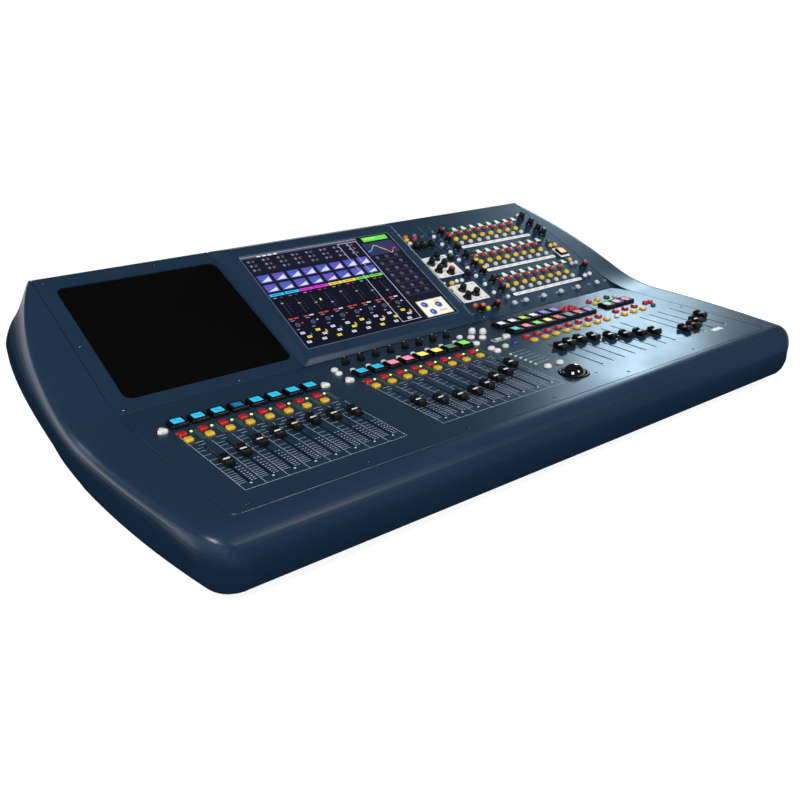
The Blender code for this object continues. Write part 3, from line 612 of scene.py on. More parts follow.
SELECT_KEYS = [(x / PITCH, ROW_SELECT_V, 4.0, "square", "white") for x, _ in FADERS["centre"]]
MATS = {
    "left": (key_list("left") + list(WINGS["left"]), lcd_list("left")),
    "centre": (key_list("centre") + SELECT_KEYS + list(WINGS["centre"]) + list(NAV_KEYS), lcd_list("centre")),
    "right": (key_list("group") + key_list("output") + list(GROUP_KEYS),
              lcd_list("group") + lcd_list("output") + lcd_list("group", ROW_LCD_REAR_V, REAR_COLOURS)),
}
KEY_CLEAR = 0.0004
DRILL_SPAN = (-0.010, 0.005)
DRILL = flat(*DRILL_SPAN)
RIGHT_LCD_HALF = 0.446
RIGHT_LCD_SHARE = 0.215
LCD_SHARE = 0.26


def drill(holes, place, size, segments):
    """A round hole with a little clearance. The size is a half width in millimetres."""
    profile = flat(*DRILL_SPAN, size / 1000.0 + KEY_CLEAR)
    holes.turned(place, profile, SLOT, segments, start=math.pi / segments)


def fader_deck_holes():
    """Cutters for slots, encoders, trackball, keys and key displays. None of them overlap."""
    holes = Piece("fader_deck_holes")
    half_slot = 0.0015
    for places in FADERS.values():
        for x, _ in places:
            holes.block((x, SLOT_TOP_V * PITCH / 2.0), (half_slot, SLOT_TOP_V * PITCH / 2.0 + half_slot),
                        0.0014, DRILL, SLOT, 2)
    for place in ENCODERS:
        holes.turned(place, flat(*DRILL_SPAN, 0.0036), SLOT, 12)
    holes.turned(BALL, flat(*DRILL_SPAN, BALL_R + 0.0030), SLOT, 48)
    for bank, (keys, displays) in MATS.items():
        for x, v, size, _, _ in keys:
            drill(holes, deck_point(x, v), size, 16)
        if bank != "right":
            reach = LCD_HALF * PITCH + KEY_CLEAR / 2.0
            for x, v, _ in displays:
                holes.block(deck_point(x, v), (reach, reach), 0.003, DRILL, SLOT, 2)
    # The right bank's displays stand so close that one hole takes a whole row
    reach = RIGHT_LCD_HALF * PITCH + KEY_CLEAR
    for first, last, v in ((0, 7, ROW_LCD_V), (8, 10, ROW_LCD_V), (11, 16, ROW_LCD_REAR_V)):
        x0, x1 = (MATS["right"][1][k][0] * PITCH for k in (first, last))
        holes.block(((x0 + x1) / 2.0, v * PITCH), ((x1 - x0) / 2.0 + reach, reach), 0.003, DRILL, SLOT, 2)
    return holes


def build_lower_panel():
    panel = Piece("fader_deck_panel")
    rings = []
    for inset, z in PANEL_LEVELS:
        reach = SEAM_X * PITCH - SEAM_GAP - inset
        rear = (CREASE_V - 0.015) * PITCH - inset
        low = PANEL_FRONT_V * PITCH + SEAM_GAP + inset
        corner = SEAM_CORNER - inset
        outline = [(reach, rear), (-reach, rear)]
        outline += [(-reach + corner - corner * math.cos(a), low + corner - corner * math.sin(a))
                    for a in QUARTER_TURN]
        outline += [(reach - corner + corner * math.sin(a), low + corner - corner * math.cos(a))
                    for a in QUARTER_TURN]
        rings.append([(x, y, z) for x, y in outline])
    panel.rings(rings, PANEL)
    item = panel.place(DECK, "console", "navy_panel", ("lower_panel",))
    cut(item, fader_deck_holes().shape(DECK))


def add_upper_panel(side, x0, x1):
    """One of the meter deck's two outer panels."""
    start, end = 0.03 * PITCH, SLOPE_END * PITCH
    panel = Piece(f"meter_deck_panel_{side}")
    panel.rings([[(x0 + inset, start + inset, z), (x1 - inset, start + inset, z),
                  (x1 - inset, end - inset, z), (x0 + inset, end - inset, z)]
                 for inset, z in PANEL_LEVELS], PANEL)
    return panel.place(UPPER, "console", "navy_panel", (f"upper_panel_{side}",))


def build_upper_panels():
    """The two panels beside the display, with the bay and the openings of the channel strips."""
    half = SEAM_X * PITCH - SEAM_GAP
    gap = SEAM_GAP / 2.0
    left = add_upper_panel("left", -half, (DISPLAY_X[0] - DISPLAY_FLANK) * PITCH - gap)
    right = add_upper_panel("right", (DISPLAY_X[1] + DISPLAY_FLANK) * PITCH + gap, half)

    middle, reach = area(BAY_X, BAY_S)
    corner = BAY_CORNER * PITCH
    bay = Piece("bay_opening")
    bay.block(middle, reach, corner, DRILL, TRAY, 8)
    cut(left, bay.shape(UPPER))
    tray = Piece("bay_tray_floor")
    top = -PANEL_T - 0.0003
    tray.block(middle, (reach[0] + 0.003, reach[1] + 0.003), corner, flat(-0.0058, top), TRAY, 8)
    tray.block(middle, (reach[0] - 0.004, reach[1] - 0.004), corner,
               ((0.0, top), (0.0008, top + 0.0007), (0.0015, top + 0.0008)), TRAY, 8)
    tray.place(UPPER, "console", "black_tray", ("bay_tray",))

    holes = Piece("strip_openings")
    for x, s, size, _ in strip_keys():
        drill(holes, deck_point(x, s), size, 12)
    cut(right, holes.shape(UPPER))


def strip_keys():
    """Keys of the three rows of channel strips on the meter deck, as (x, s, half size in mm, colour)."""
    keys = []
    for row in STRIP_ROWS:
        for k in range(8):
            x = STRIP_X0 + k * STRIP_PITCH
            keys.append((x, row, 5.0, "red"))
            keys.append((x, row - 0.67, 5.7, "yellow"))
            keys.append((x + 0.12, row - 1.16, 5.0, "grey"))
    return keys


# ---------------------------------------------------------------- keys and key displays

SQUARE_LEVELS = ((0.0, 0.0018), (0.0003, 0.0027), (0.0009, 0.0033), (0.0020, 0.0037), (0.0034, 0.0039))
BAR_LEVELS = ((0.0, 0.0010), (0.0005, 0.0016), (0.0012, 0.0018))
# Wings and domes as shares of the half width, with heights in metres
WING_LEVELS = ((1.0, 0.0012), (0.95, 0.0026), (0.80, 0.0038), (0.55, 0.0046), (0.25, 0.0049))
DOME_LEVELS = ((1.0, 0.0012), (0.95, 0.0026), (0.82, 0.0036), (0.60, 0.0043), (0.30, 0.0047), (0.08, 0.0048))
TALL = 1.9
KEY_SEAT = -0.0028
LCD_LEVELS = ((0.0, KEY_SEAT), (0.0, 0.0020), (0.0006, 0.0046), (0.0014, 0.0056), (0.0024, 0.0060))


def wing_ring(place, reach, z):
    """A rounded triangle about a place."""
    return [(*polar(place, reach * (0.84 + 0.16 * math.cos(3.0 * (angle - math.pi / 2.0))), angle), z)
            for angle in around(24)]


def add_key(piece, place, size, shape, material, seat=KEY_SEAT):
    """One soft key. The size is a half width in millimetres."""
    half = size / 1000.0
    if shape == "square":
        piece.block(place, (half, half), 0.55 * half, ((0.0, seat),) + SQUARE_LEVELS, material, 5)
    elif shape == "bar":
        piece.block(place, (half, 0.45 * half), 0.30 * half, ((0.0, seat),) + BAR_LEVELS, material, 3)
    elif shape == "wing":
        levels = ((1.0, seat),) + WING_LEVELS
        piece.rings([wing_ring(place, half * share, z) for share, z in levels], material)
    else:
        tall = TALL if shape == "tall" else 1.0
        profile = [(half, seat)] + [(share * half, z * tall) for share, z in DOME_LEVELS]
        piece.turned(place, profile, material, 20)


def add_lcd(piece, x, v, colour, number, half, share):
    """A display key: a black rounded block with a lit window and two short generic marks."""
    place = deck_point(x, v)
    reach = half * PITCH
    window = share * PITCH
    piece.block(place, (reach, reach), 0.0030, LCD_LEVELS, BEZEL, 5)
    piece.block(place, (window + 0.0006, window + 0.0006), 0.0012, flat(0.0058, 0.00605), SLOT, 2)
    piece.block(place, (window, window), 0.0008, flat(0.0059, 0.00625), GLOWS[colour], 2)
    if colour in ("cyan", "dim"):
        mark = GLOWS["dim" if colour == "cyan" else "cyan"]
        for row, (start, end) in enumerate(((-0.5, 0.1 + 0.1 * (number % 3)), (0.0, 0.6))):
            y = place[1] + (0.12 - 0.24 * row) * window * 2.0
            piece.plate((place[0] + start * window, place[0] + end * window), (y - 0.0007, y + 0.0007),
                        0.0062, 0.00632, mark)


def build_mats():
    for bank, (keys, displays) in MATS.items():
        mat = Piece(f"{bank}_keys")
        for x, v, size, shape, colour in keys:
            add_key(mat, deck_point(x, v), size, shape, KEYS[colour])
        half, share = (RIGHT_LCD_HALF, RIGHT_LCD_SHARE) if bank == "right" else (LCD_HALF, LCD_SHARE)
        for number, (x, v, colour) in enumerate(displays):
            add_lcd(mat, x, v, colour, number, half, share)
        mat.place(DECK, f"{bank}_key_mat", "key_rubber", (f"{bank}_key_mat",), 40.0)

    strips = Piece("meter_deck_keys")
    for x, s, size, colour in strip_keys():
        add_key(strips, deck_point(x, s), size, "dome", KEYS[colour])
    strips.place(UPPER, "upper_key_mat", "key_rubber", ("upper_key_mat",), 40.0)


# ---------------------------------------------------------------- faders, encoders and trackball

CAP_HALF = 0.012
CAP_WIDE = 0.00625
CAP_FOOT = 0.0012
# The cap's side view from an end to the middle, as shares of its half length and heights in metres
CAP_PROFILE = ((-1.0, CAP_FOOT), (-1.0, 0.0072), (-0.97, 0.0084), (-0.90, 0.0096), (-0.80, 0.0105),
               (-0.70, 0.0107), (-0.60, 0.0103), (-0.46, 0.0091), (-0.30, 0.0079), (-0.12, 0.0074))


def add_fader_cap(cap, x, y, line):
    """A saddle-shaped cap with ribs on both ends, a coloured line and a stem into the slot."""
    outline = [(share * CAP_HALF, z) for share, z in CAP_PROFILE]
    outline += [(-along, z) for along, z in reversed(outline)]
    sides = [(-CAP_WIDE, 0.0007), (-CAP_WIDE + 0.0003, 0.0003), (-CAP_WIDE + 0.0009, 0.0)]
    sides += [(-across, shrink) for across, shrink in reversed(sides)]
    cap.rings([[(x + across, y + along * (1.0 - shrink / CAP_HALF), max(z - shrink, CAP_FOOT))
                for along, z in outline] for across, shrink in sides], CAP)
    for side in (-1.0, 1.0):
        for rib in range(4):
            along = y + side * (0.62 + 0.09 * rib) * CAP_HALF
            top = 0.01075 - 0.00012 * abs(rib - 1.5) ** 2 - (0.0007 if rib == 3 else 0.0)
            span = (along - 0.00022, along + 0.00022)
            cap.plate((x - 0.0050, x + 0.0050), span, top - 0.0006, top - 0.0001, CAP)
    stem = 0.0007
    cap.plate((x - stem, x + stem), (y - 0.003, y + 0.003), -0.014, 0.0016, SCREW)
    cap.block((x, y), (0.0047, 0.0016), 0.0015, ((0.0, 0.0070), (0.0, 0.0077), (0.0003, 0.0079)), line, 5)


def build_faders():
    for bank, places in FADERS.items():
        for number, (x, y) in enumerate(places):
            body = f"fader_{bank}_{number + 1}"
            cap = Piece(f"{body}_cap")
            add_fader_cap(cap, x, y, LINE_RED if bank == "output" and number in (0, 1, 3) else LINE)
            cap.place(DECK, body, "black_plastic", (body,), 35.0)


KNOB_R = 0.0070
KNOB_HEIGHT = 0.0132
KNOB_BASE = 0.0006


def add_knob(piece, x, s, colour, skirt):
    """A rotary knob with a skirt, a fluted waist and a plain or coloured cap."""
    def levels(*pairs):
        return [(share * KNOB_R, KNOB_BASE + rise * KNOB_HEIGHT) for share, rise in pairs]

    place = deck_point(x, s)
    piece.turned(place, levels((skirt, 0.0), (skirt, 0.10), (0.94, 0.22)), CAP, 36)
    piece.turned(place, levels((0.93, 0.20), (0.86, 0.90), (0.78, 0.97), (0.70, 1.0)), CAP, 48, 12, 0.10)
    piece.turned(place, levels((0.68, 0.96), (0.68, 1.03), (0.60, 1.06), (0.30, 1.07)),
                 KEYS[colour] if colour else CAP, 24)


def build_encoders():
    for number, (x, y) in enumerate(ENCODERS):
        body = f"encoder_{number + 1}"
        _, radius, top = centre_of(body)
        knob = Piece(f"{body}_knob")
        knob.turned((x, y), flat(-0.010, 0.0012, 0.003), SCREW, 16)
        knob.turned((x, y), ((0.96 * radius, 0.0010), (radius, 0.0016), (0.97 * radius, 0.45 * top),
                             (0.94 * radius, top - 0.0012), (0.88 * radius, top - 0.0004),
                             (0.78 * radius, top - 0.0001)), CAP, 60, 20, 0.07)
        knob.turned((x, y), ((0.76 * radius, top - 0.0006), (0.74 * radius, top),
                             (0.30 * radius, top - 0.0003)), BEZEL, 32)
        knob.plate((x - 0.0004, x + 0.0004), (y + 0.25 * radius, y + 0.72 * radius), top - 0.0004, top, LINE)
        knob.place(DECK, body, "black_plastic", (body,), 35.0)


def build_trackball():
    ball = Piece("trackball_sphere")
    steps = 40
    pole = 0.35
    angles = [math.pi * (k + pole) / (steps + 2.0 * pole) for k in range(steps + 1)]
    ball.turned(BALL, [(BALL_R * math.sin(a), BALL_Z - BALL_R * math.cos(a)) for a in angles], GLOSS, 80)
    ball.place(DECK, "trackball", "gloss_black", ("trackball",), 60.0)

    ring = Piece("trackball_ring")
    # Distances from the ball's surface, with heights: round the rim, down the sleeve and back up
    profile = ((0.0044, 0.0003), (0.0044, 0.0008), (0.0036, 0.0014), (0.0019, 0.0018), (0.0012, 0.0018),
               (-0.0002, 0.0012), (0.0006, -0.0010), (0.0006, -0.0270), (0.0022, -0.0270), (0.0022, 0.0003))
    ring.rings([[(*polar(BALL, BALL_R + gap, angle), z) for angle in around(72)] for gap, z in profile],
               BEZEL, True)
    ring.place(DECK, "console", "black_plastic", ("trackball_bezel",), 40.0)


# ---------------------------------------------------------------- printing on the fader deck

INK_LOW = -0.00005
INK_HIGH = 0.00006
HALF_LINE = 0.0002 / PITCH
FRAMED_BANKS = ("left", "centre")
FADER_MARKS = (0.06, 0.22, 0.38, 0.54, 0.72, 0.92, 1.14, 1.38, 1.66, 2.05, 2.55, 3.10, 3.55, 3.85)
DOUBLE_MARKS_BELOW = 1.9


def ink_bar(ink, x_span, v_span, material=INK):
    """Printed ink, with spans in pitches."""
    ink.bar(x_span, v_span, INK_LOW, INK_HIGH, material)


def print_scale(ink, x, framed):
    """The scale beside one slot, with a dot at its lower end."""
    for mark in FADER_MARKS:
        if framed:
            ink_bar(ink, (x - 0.48, x - 0.11), (mark - HALF_LINE, mark + HALF_LINE))
            for near, far in ((0.10, 0.19), (0.26, 0.36)) if mark < DOUBLE_MARKS_BELOW else ():
                ink_bar(ink, (x + near, x + far), (mark - 2.0 * HALF_LINE, mark + 2.0 * HALF_LINE))
        else:
            ink_bar(ink, (x - 0.22, x - 0.12), (mark - HALF_LINE / 1.5, mark + HALF_LINE / 1.5), INK_FAINT)
    ink.block(deck_point(x, -0.13), (0.0016, 0.0016), 0.0015, flat(INK_LOW, INK_HIGH), INK, 2)
    for v, reach in ((4.42, 0.20), (4.12, 0.14)) if framed else ():
        ink_bar(ink, (x - reach, x + reach), (v, v + 0.02))


def print_frame(ink, columns):
    """Lines between a bank's faders, and a frame round it."""
    low, high, shoulder = -0.53, 5.85, 4.30
    for x in columns[:-1]:
        ink_bar(ink, (x + 0.5 - HALF_LINE, x + 0.5 + HALF_LINE), (-0.52, shoulder))
    left, right = columns[0] - 0.47, columns[-1] + 0.47
    ink_bar(ink, (left, right), (low - HALF_LINE, low + HALF_LINE))
    for x, top in ((left, high), (right, shoulder)):
        ink_bar(ink, (x - HALF_LINE, x + HALF_LINE), (low, top))


def print_meter(ink, x, low, high, width, material):
    """A straight line up a deck, with its place in pitches and its width in metres."""
    reach = width / 2.0 / PITCH
    ink_bar(ink, (x - reach, x + reach), (low, high), material)


def build_printing():
    ink = Piece("fader_deck_printing")
    for bank, places in FADERS.items():
        columns = [x / PITCH for x, _ in places]
        for x in columns:
            print_scale(ink, x, bank in FRAMED_BANKS)
        if bank in FRAMED_BANKS:
            print_frame(ink, columns)
            for x in columns:
                ink.block(deck_point(x + 0.17, 5.62), (0.0017, 0.0017), 0.0012,
                          ((0.0, INK_LOW), (0.0, 0.0009), (0.0006, 0.0013)), LED, 3)
                for offset in (0.28, 0.40):
                    print_meter(ink, x + offset, 4.62, 5.72, 0.0005, METER)
    for k in range(6):
        v = 4.02 - 0.376 * k
        ink.block(deck_point(2.50, v), (0.0024, 0.0024), 0.0018,
                  ((0.0, INK_LOW), (0.0, 0.0012), (0.0007, 0.0018)), KEYS["pale_green"], 4)
        ink_bar(ink, (2.72, 3.72), (v + 0.10, v + 0.10 + 0.0005 / PITCH))
        ink_bar(ink, (2.72, 3.12), (v + 0.10 - 0.0022 / PITCH, v + 0.10 - 0.0018 / PITCH), INK_FAINT)
    for half, material, high in (((0.0125, 0.0062), INK, 0.0006), ((0.0112, 0.0050), PANEL, 0.0008),
                                 ((0.0060, 0.0034), KEYS["white"], 0.0022)):
        ink.block(deck_point(3.62, 6.18), half, 0.0016, flat(INK_LOW, high), material, 3)
    ink.block(deck_point(15.17, -0.33), (0.0135, 0.0048), 0.0016,
              ((0.0, INK_LOW), (0.0, 0.0003), (0.0003, 0.0005)), WHITE_PLATE, 4)
    ink.place(DECK, "console", "navy_panel")


# ---------------------------------------------------------------- screws

def add_screw(piece, x, v, radius=0.0021):
    """A flush cross-head screw in a shallow countersink."""
    place = deck_point(x, v)
    piece.turned(place, flat(INK_LOW, 0.00008, radius + 0.0006), SLOT, 20)
    piece.turned(place, ((radius, 0.0), (radius, 0.0002), (0.8 * radius, 0.0005), (0.5 * radius, 0.0006)),
                 SCREW, 20)
    # The black cross is painted shade: flat dark bars where the cross recess would lie in shadow
    for reach in ((0.55 * radius, 0.11 * radius), (0.11 * radius, 0.55 * radius)):
        piece.plate((place[0] - reach[0], place[0] + reach[0]), (place[1] - reach[1], place[1] + reach[1]),
                    0.0003, 0.00062, SLOT)


def screw_row(piece, numbers, step, v):
    """Evenly spaced screws in a row. The outermost ones sit in the panel's corners."""
    for k in numbers:
        add_screw(piece, step * k if abs(k) < 3 else 17.1 * k / 3.0, v)


def build_screws():
    lower = Piece("fader_deck_screws")
    for k in range(-3, 4):
        for v in (-1.53, 8.93):
            add_screw(lower, 5.556 * k, v)
    for side in (-1, 1):
        add_screw(lower, 17.25 * side, 3.64)
    for x, v in ((2.42, 1.12), (4.12, -0.62), (2.32, -0.62)):
        add_screw(lower, x, v, 0.0017)
    lower.place(DECK, "console", "steel")
    upper = Piece("meter_deck_screws")
    screw_row(upper, (-3, -2, 1, 2, 3), 5.556, 0.28)
    screw_row(upper, range(-3, 4), 5.5, 10.6)
    for side in (-1, 1):
        add_screw(upper, 17.25 * side, 5.2)
    upper.place(UPPER, "console", "steel")


# ---------------------------------------------------------------- display

def face_height(s):
    """Height of the display's face above the meter deck, in pitches."""
    share = (s - DISPLAY_S[0]) / (DISPLAY_S[1] - DISPLAY_S[0])
    return DISPLAY_RISE[0] + share * (DISPLAY_RISE[1] - DISPLAY_RISE[0])


def glass_ring(grow, drop, radius):
    """An outline round the glass on the display's face, with its sizes in pitches."""
    middle, half = area(GLASS_X, GLASS_S)
    outline = rounded((half[0] + grow * PITCH, half[1] + grow * PITCH), radius * PITCH, 5)
    return [(middle[0] + x, middle[1] + y, (face_height((middle[1] + y) / PITCH) + drop) * PITCH)
            for x, y in outline]


def housing_ring(share, lift, radius):
    """An outline between the housing's foot, at share 0, and its ridge, at share 1."""
    flank = DISPLAY_FLANK * (1.0 - share)
    foot = (0.04, SLOPE_END)
    s_span = [start + (ridge - start) * share for start, ridge in zip(foot, DISPLAY_S)]
    middle, half = area((DISPLAY_X[0] - flank, DISPLAY_X[1] + flank), s_span)
    return [(middle[0] + x, middle[1] + y,
             face_height(min((middle[1] + y) / PITCH, DISPLAY_S[1])) * lift * PITCH)
            for x, y in rounded(half, radius * PITCH, 5)]


def build_display_housing():
    """Sloping flanks, a rounded ridge and a recess for the glass, with a thin metal rim."""
    housing = Piece("display_surround")
    rings = [[(x, y, -PANEL_T) for x, y, _ in housing_ring(0.0, 0.0, 0.10)]]
    rings += [housing_ring(*step) for step in (
        (0.0, 0.0, 0.10), (0.02, 0.02, 0.12), (0.30, 0.32, 0.20), (0.62, 0.65, 0.26), (0.84, 0.855, 0.30),
        (1.0, 0.97, 0.30), (1.20, 1.0, 0.28), (1.60, 1.0, 0.26))]
    rings += [glass_ring(*step) for step in ((0.05, 0.0, 0.10), (0.02, 0.0, 0.08), (0.02, -0.06, 0.08))]
    housing.rings(rings, SHELL)
    housing.place(UPPER, "console", "navy_shell", ("display_housing",), 38.0)

    rim = Piece("display_rim")
    steps = ((0.045, 0.004), (0.02, 0.012), (0.0, 0.004), (0.0, -0.05), (0.045, -0.05))
    rim.rings([glass_ring(grow, drop, 0.08) for grow, drop in steps], GREY_LINE, True)
    rim.place(UPPER, "console", "steel", (), 40.0)


def screen_frame():
    """The matrix of the screen's face: x and y run from 0 to 1 across it from the top left."""
    left, right = GLASS_X[0] * PITCH, GLASS_X[1] * PITCH
    low, high = GLASS_S[0], GLASS_S[1]
    corner = Vector((left, high * PITCH, face_height(high) * PITCH))
    across = Vector((right - left, 0.0, 0.0))
    down = Vector((left, low * PITCH, face_height(low) * PITCH)) - corner
    normal = across.cross(-down).normalized()
    return corner, across, down, normal


SCREEN_PAINTS = {
    "grey": (0.19, 0.20, 0.24), "light": (0.62, 0.64, 0.68), "green": (0.10, 0.50, 0.07),
    "lime": (0.40, 0.65, 0.10), "violet": (0.075, 0.060, 0.34), "blue": (0.045, 0.070, 0.34),
    "pale": (0.22, 0.23, 0.52), "cyan": (0.02, 0.34, 0.62), "magenta": (0.52, 0.03, 0.44),
    "yellow": (0.62, 0.50, 0.05), "red": (0.45, 0.04, 0.04), "white": (0.70, 0.70, 0.68),
    "cream": (0.66, 0.60, 0.48), "dark": (0.006, 0.007, 0.014), "dusk": (0.022, 0.024, 0.075),
    "slate": (0.05, 0.06, 0.09), "deep": (0.02, 0.06, 0.35), "orange": (0.70, 0.25, 0.03),
    "haze": (0.46, 0.46, 0.58),
}


class ScreenFace:
    """Flat lit shapes on the screen. Later shapes lie on top of earlier ones."""

    def __init__(self, piece):
        self.piece = piece
        self.corner, self.across, self.down, self.normal = screen_frame()
        self.layer = 0
        self.paints = {name: finish(f"screen_{name}", colour, 0.20, variation=0.06, patch=50.0, bump=0.0,
                                    glow=0.55, specular=0.25) for name, colour in SCREEN_PAINTS.items()}

    def slab(self, points, depths, material):
        face = [self.corner + self.across * x + self.down * y for x, y in points]
        self.piece.rings([[p - self.normal * depth for p in face] for depth in depths], material)

    def patch(self, points, paint):
        self.layer += 1
        self.slab(points, (0.00092, 0.00088 - 0.0000010 * self.layer), self.paints[paint])

    def box(self, x, y, w, h, paint):
        self.patch(((x, y), (x, y + h), (x + w, y + h), (x + w, y)), paint)

    def boxes(self, x, y, *shapes):
        """Boxes whose places are counted from a common point."""
        for dx, dy, w, h, paint in shapes:
            self.box(x + dx, y + dy, w, h, paint)

    def dial(self, x, y, r, paint, sides=14):
        self.patch([(x + r * math.cos(a), y - 1.38 * r * math.sin(a)) for a in around(sides)], paint)


CHANNEL_STEP = 0.0925
CHANNEL_TAGS = ("cyan", "cyan", "magenta", "magenta", "yellow", "yellow", "green", "green")


def draw_channel(face, k):
    """One column of the channel overview: dials, two curves, a tag, a fader and small fields."""
    x = 0.012 + CHANNEL_STEP * k
    odd = k % 2
    for row, y in enumerate((0.064, 0.112, 0.160)):
        face.dial(x + 0.020, y, 0.0105, "slate")
        face.dial(x + 0.020, y, 0.0050, "pale" if (k + row) % 3 else "grey")
        face.boxes(x + 0.040, y, (0.0, -0.012, 0.018, 0.006, "red" if (k + 2 * row) % 4 == 1 else "slate"),
                   (0.0, 0.003, 0.014, 0.005, "grey"))
    for row, y in enumerate((0.218, 0.322)):
        face.boxes(x, y, (0.0, 0.0, CHANNEL_STEP - 0.012, 0.090, "dusk"),
                   (0.006, 0.008, CHANNEL_STEP - 0.024, 0.074, "violet" if (k + row) % 2 else "blue"))
        top = y + 0.026 + 0.016 * ((3 * k + row) % 3)
        right = x + CHANNEL_STEP - 0.022
        face.patch(((x + 0.010, y + 0.078), (right, y + 0.078), (right, top)), "haze")
        face.box(x + 0.006, y + 0.044, CHANNEL_STEP - 0.024, 0.0020, "grey")
    face.boxes(x, 0.0, (-0.002, 0.428, CHANNEL_STEP - 0.006, 0.026, CHANNEL_TAGS[k]),
               (0.010, 0.437, CHANNEL_STEP - 0.036, 0.006, "dark"),
               (0.006, 0.470, 0.020, 0.008, "red" if odd else "grey"), (0.044, 0.470, 0.016, 0.008, "slate"),
               (0.032, 0.505, 0.002, 0.165, "slate"),
               (0.025, 0.53 + 0.028 * ((5 * k) % 4), 0.016, 0.011, "grey"))
    for mark in range(5):
        face.box(x + 0.054, 0.52 + 0.028 * mark, 0.007, 0.003, "slate")
    if k == 2:
        face.box(x + 0.066, 0.560, 0.010, 0.022, "lime")
    face.boxes(x, 0.694, (0.002, 0.0, 0.026, 0.011, "red"),
               (0.036, 0.0, 0.026, 0.011, "haze" if odd else "red"), (0.006, 0.022, 0.024, 0.006, "grey"))
    face.dial(x + 0.030, 0.766, 0.0145, "slate")
    face.dial(x + 0.030, 0.766, 0.0075, "dusk")
    face.box(x + 0.056, 0.750, 0.010, 0.010, "haze" if k % 3 else "red")
    face.box(x + 0.006, 0.806, 0.018, 0.007, "grey")
    for tag in range(3):
        face.boxes(x + 0.010 + 0.022 * (tag % 2), 0.838 + 0.046 * tag,
                   (0.0, 0.0, 0.026, 0.021, "yellow" if (tag + k) % 3 == 1 else "haze"),
                   (0.005, 0.007, 0.014, 0.005, "dark"))
    face.box(x + 0.060, 0.860, 0.008, 0.030, "orange" if odd else "slate")


def draw_side(face):
    """The right part of the screen: a response curve, rows of dials and a pale field."""
    face.boxes(0.0, 0.0, (0.765, 0.0, 0.235, 1.0, "dark"), (0.800, 0.012, 0.178, 0.050, "green"),
               (0.815, 0.026, 0.080, 0.010, "lime"), (0.772, 0.080, 0.214, 0.150, "dusk"))
    curve = [(0.775 + 0.20 * t, 0.175 - 0.062 * math.exp(-((t - 0.35) / 0.16) ** 2)
              + 0.050 * math.exp(-((t - 0.75) / 0.10) ** 2)) for t in (k / 24.0 for k in range(25))]
    for k, (a, b) in enumerate(zip(curve, curve[1:])):
        paint = ("cyan", "green", "yellow", "orange", "red")[min(k // 5, 4)]
        face.patch((a, (a[0], a[1] + 0.010), (b[0], b[1] + 0.010), b), paint)
    for row in range(7):
        y = 0.262 + 0.072 * row
        for column in range(3):
            x = 0.800 + 0.068 * column
            face.dial(x, y, 0.0130, "slate")
            face.dial(x, y, 0.0065, "dusk" if (row + column) % 3 else "blue")
        face.box(0.785, y + 0.030, 0.19, 0.0025, "slate")
    face.box(0.792, 0.803, 0.192, 0.182, "grey")
    face.box(0.796, 0.808, 0.184, 0.172, "cream")
    for x, y in ((0.835, 0.852), (0.925, 0.876), (0.855, 0.938)):
        face.dial(x, y, 0.0240, "grey", 20)
        face.dial(x, y, 0.0185, "deep", 20)
        face.dial(x - 0.003, y - 0.003, 0.0070, "pale", 12)
    face.box(0.912, 0.826, 0.040, 0.010, "orange")
    face.box(0.900, 0.936, 0.055, 0.008, "grey")


def build_screen():
    """The glass with a generic channel overview: panels, curves, dials, tags and fader marks."""
    screen = Piece("touch_screen")
    face = ScreenFace(screen)
    face.slab(((0, 0), (0, 1), (1, 1), (1, 0)), (0.0030, 0.0009), SCREEN)
    face.box(0.0, 0.0, 1.0, 0.030, "slate")
    face.box(0.0, 0.004, 0.80, 0.009, "grey")
    for k in range(4):
        face.box(0.10 + 0.034 * k, 0.016, 0.024, 0.010, "light")
    face.box(0.0, 0.040, 0.755, 0.165, "dark")
    for k in range(8):
        draw_channel(face, k)
    for x, y, w, h in ((0.622, 0.036, 0.0025, 0.93), (0.752, 0.036, 0.0025, 0.93),
                       (0.622, 0.036, 0.132, 0.003), (0.622, 0.962, 0.132, 0.003),
                       (0.686, 0.036, 0.0018, 0.38)):
        face.box(x, y, w, h, "haze")
    draw_side(face)
    screen.place(UPPER, "console", "screen_glass", ("display_glass",), 20.0)


# ---------------------------------------------------------------- meter deck, right side

def print_strip_row(ink, row):
    """One row of channel strips: a write-on strip, tapered marks, small keys, lines and meters."""
    left = STRIP_X0 - 0.20
    right = STRIP_X0 + 7.0 * STRIP_PITCH + 0.60
    middle, half = area((left, right), (row - 1.73, row - 1.45))
    ink.block(middle, half, 0.0035, ((0.0, INK_LOW), (0.0, 0.0004), (0.0004, 0.0007)), WHITE_PLATE, 6)
    for k in range(8):
        x = (STRIP_X0 + 0.30 + k * STRIP_PITCH) * PITCH
        width = 0.0035 + 0.0012 * ((3 * k) % 4)
        ink.plate((x - width, x + width), (middle[1] - 0.0009, middle[1] + 0.0002), 0.0006, 0.00078,
                  INK_FAINT)
    low, high = row + 0.26, row + 0.62
    for k in range(9):
        x = STRIP_X0 + 0.35 + (k - 0.5) * STRIP_PITCH
        if k:
            points = ((x - 0.24, low), (x + 0.20, low), (x + 0.03, high), (x - 0.15, high))
            ink.rings([[(*deck_point(*point), z) for point in points] for z in (INK_LOW, 0.0008)],
                      WHITE_PLATE)
        ink.block(deck_point(x + 0.40, row + 0.50), (0.0048, 0.0032), 0.0022,
                  ((0.0, INK_LOW), (0.0, 0.0016), (0.0008, 0.0024)), KEYS["green"], 3)
    ink_bar(ink, (left, right - 0.1), (row + 0.20, row + 0.22))
    for k in range(8):
        x = STRIP_X0 + k * STRIP_PITCH + 0.30
        print_meter(ink, x, row - 0.55, row + 0.12, 0.0009, METER)
        ink.block(deck_point(x - 0.04, row + 0.06), (0.0012, 0.0012), 0.0009, flat(INK_LOW, 0.0010), LED, 2)


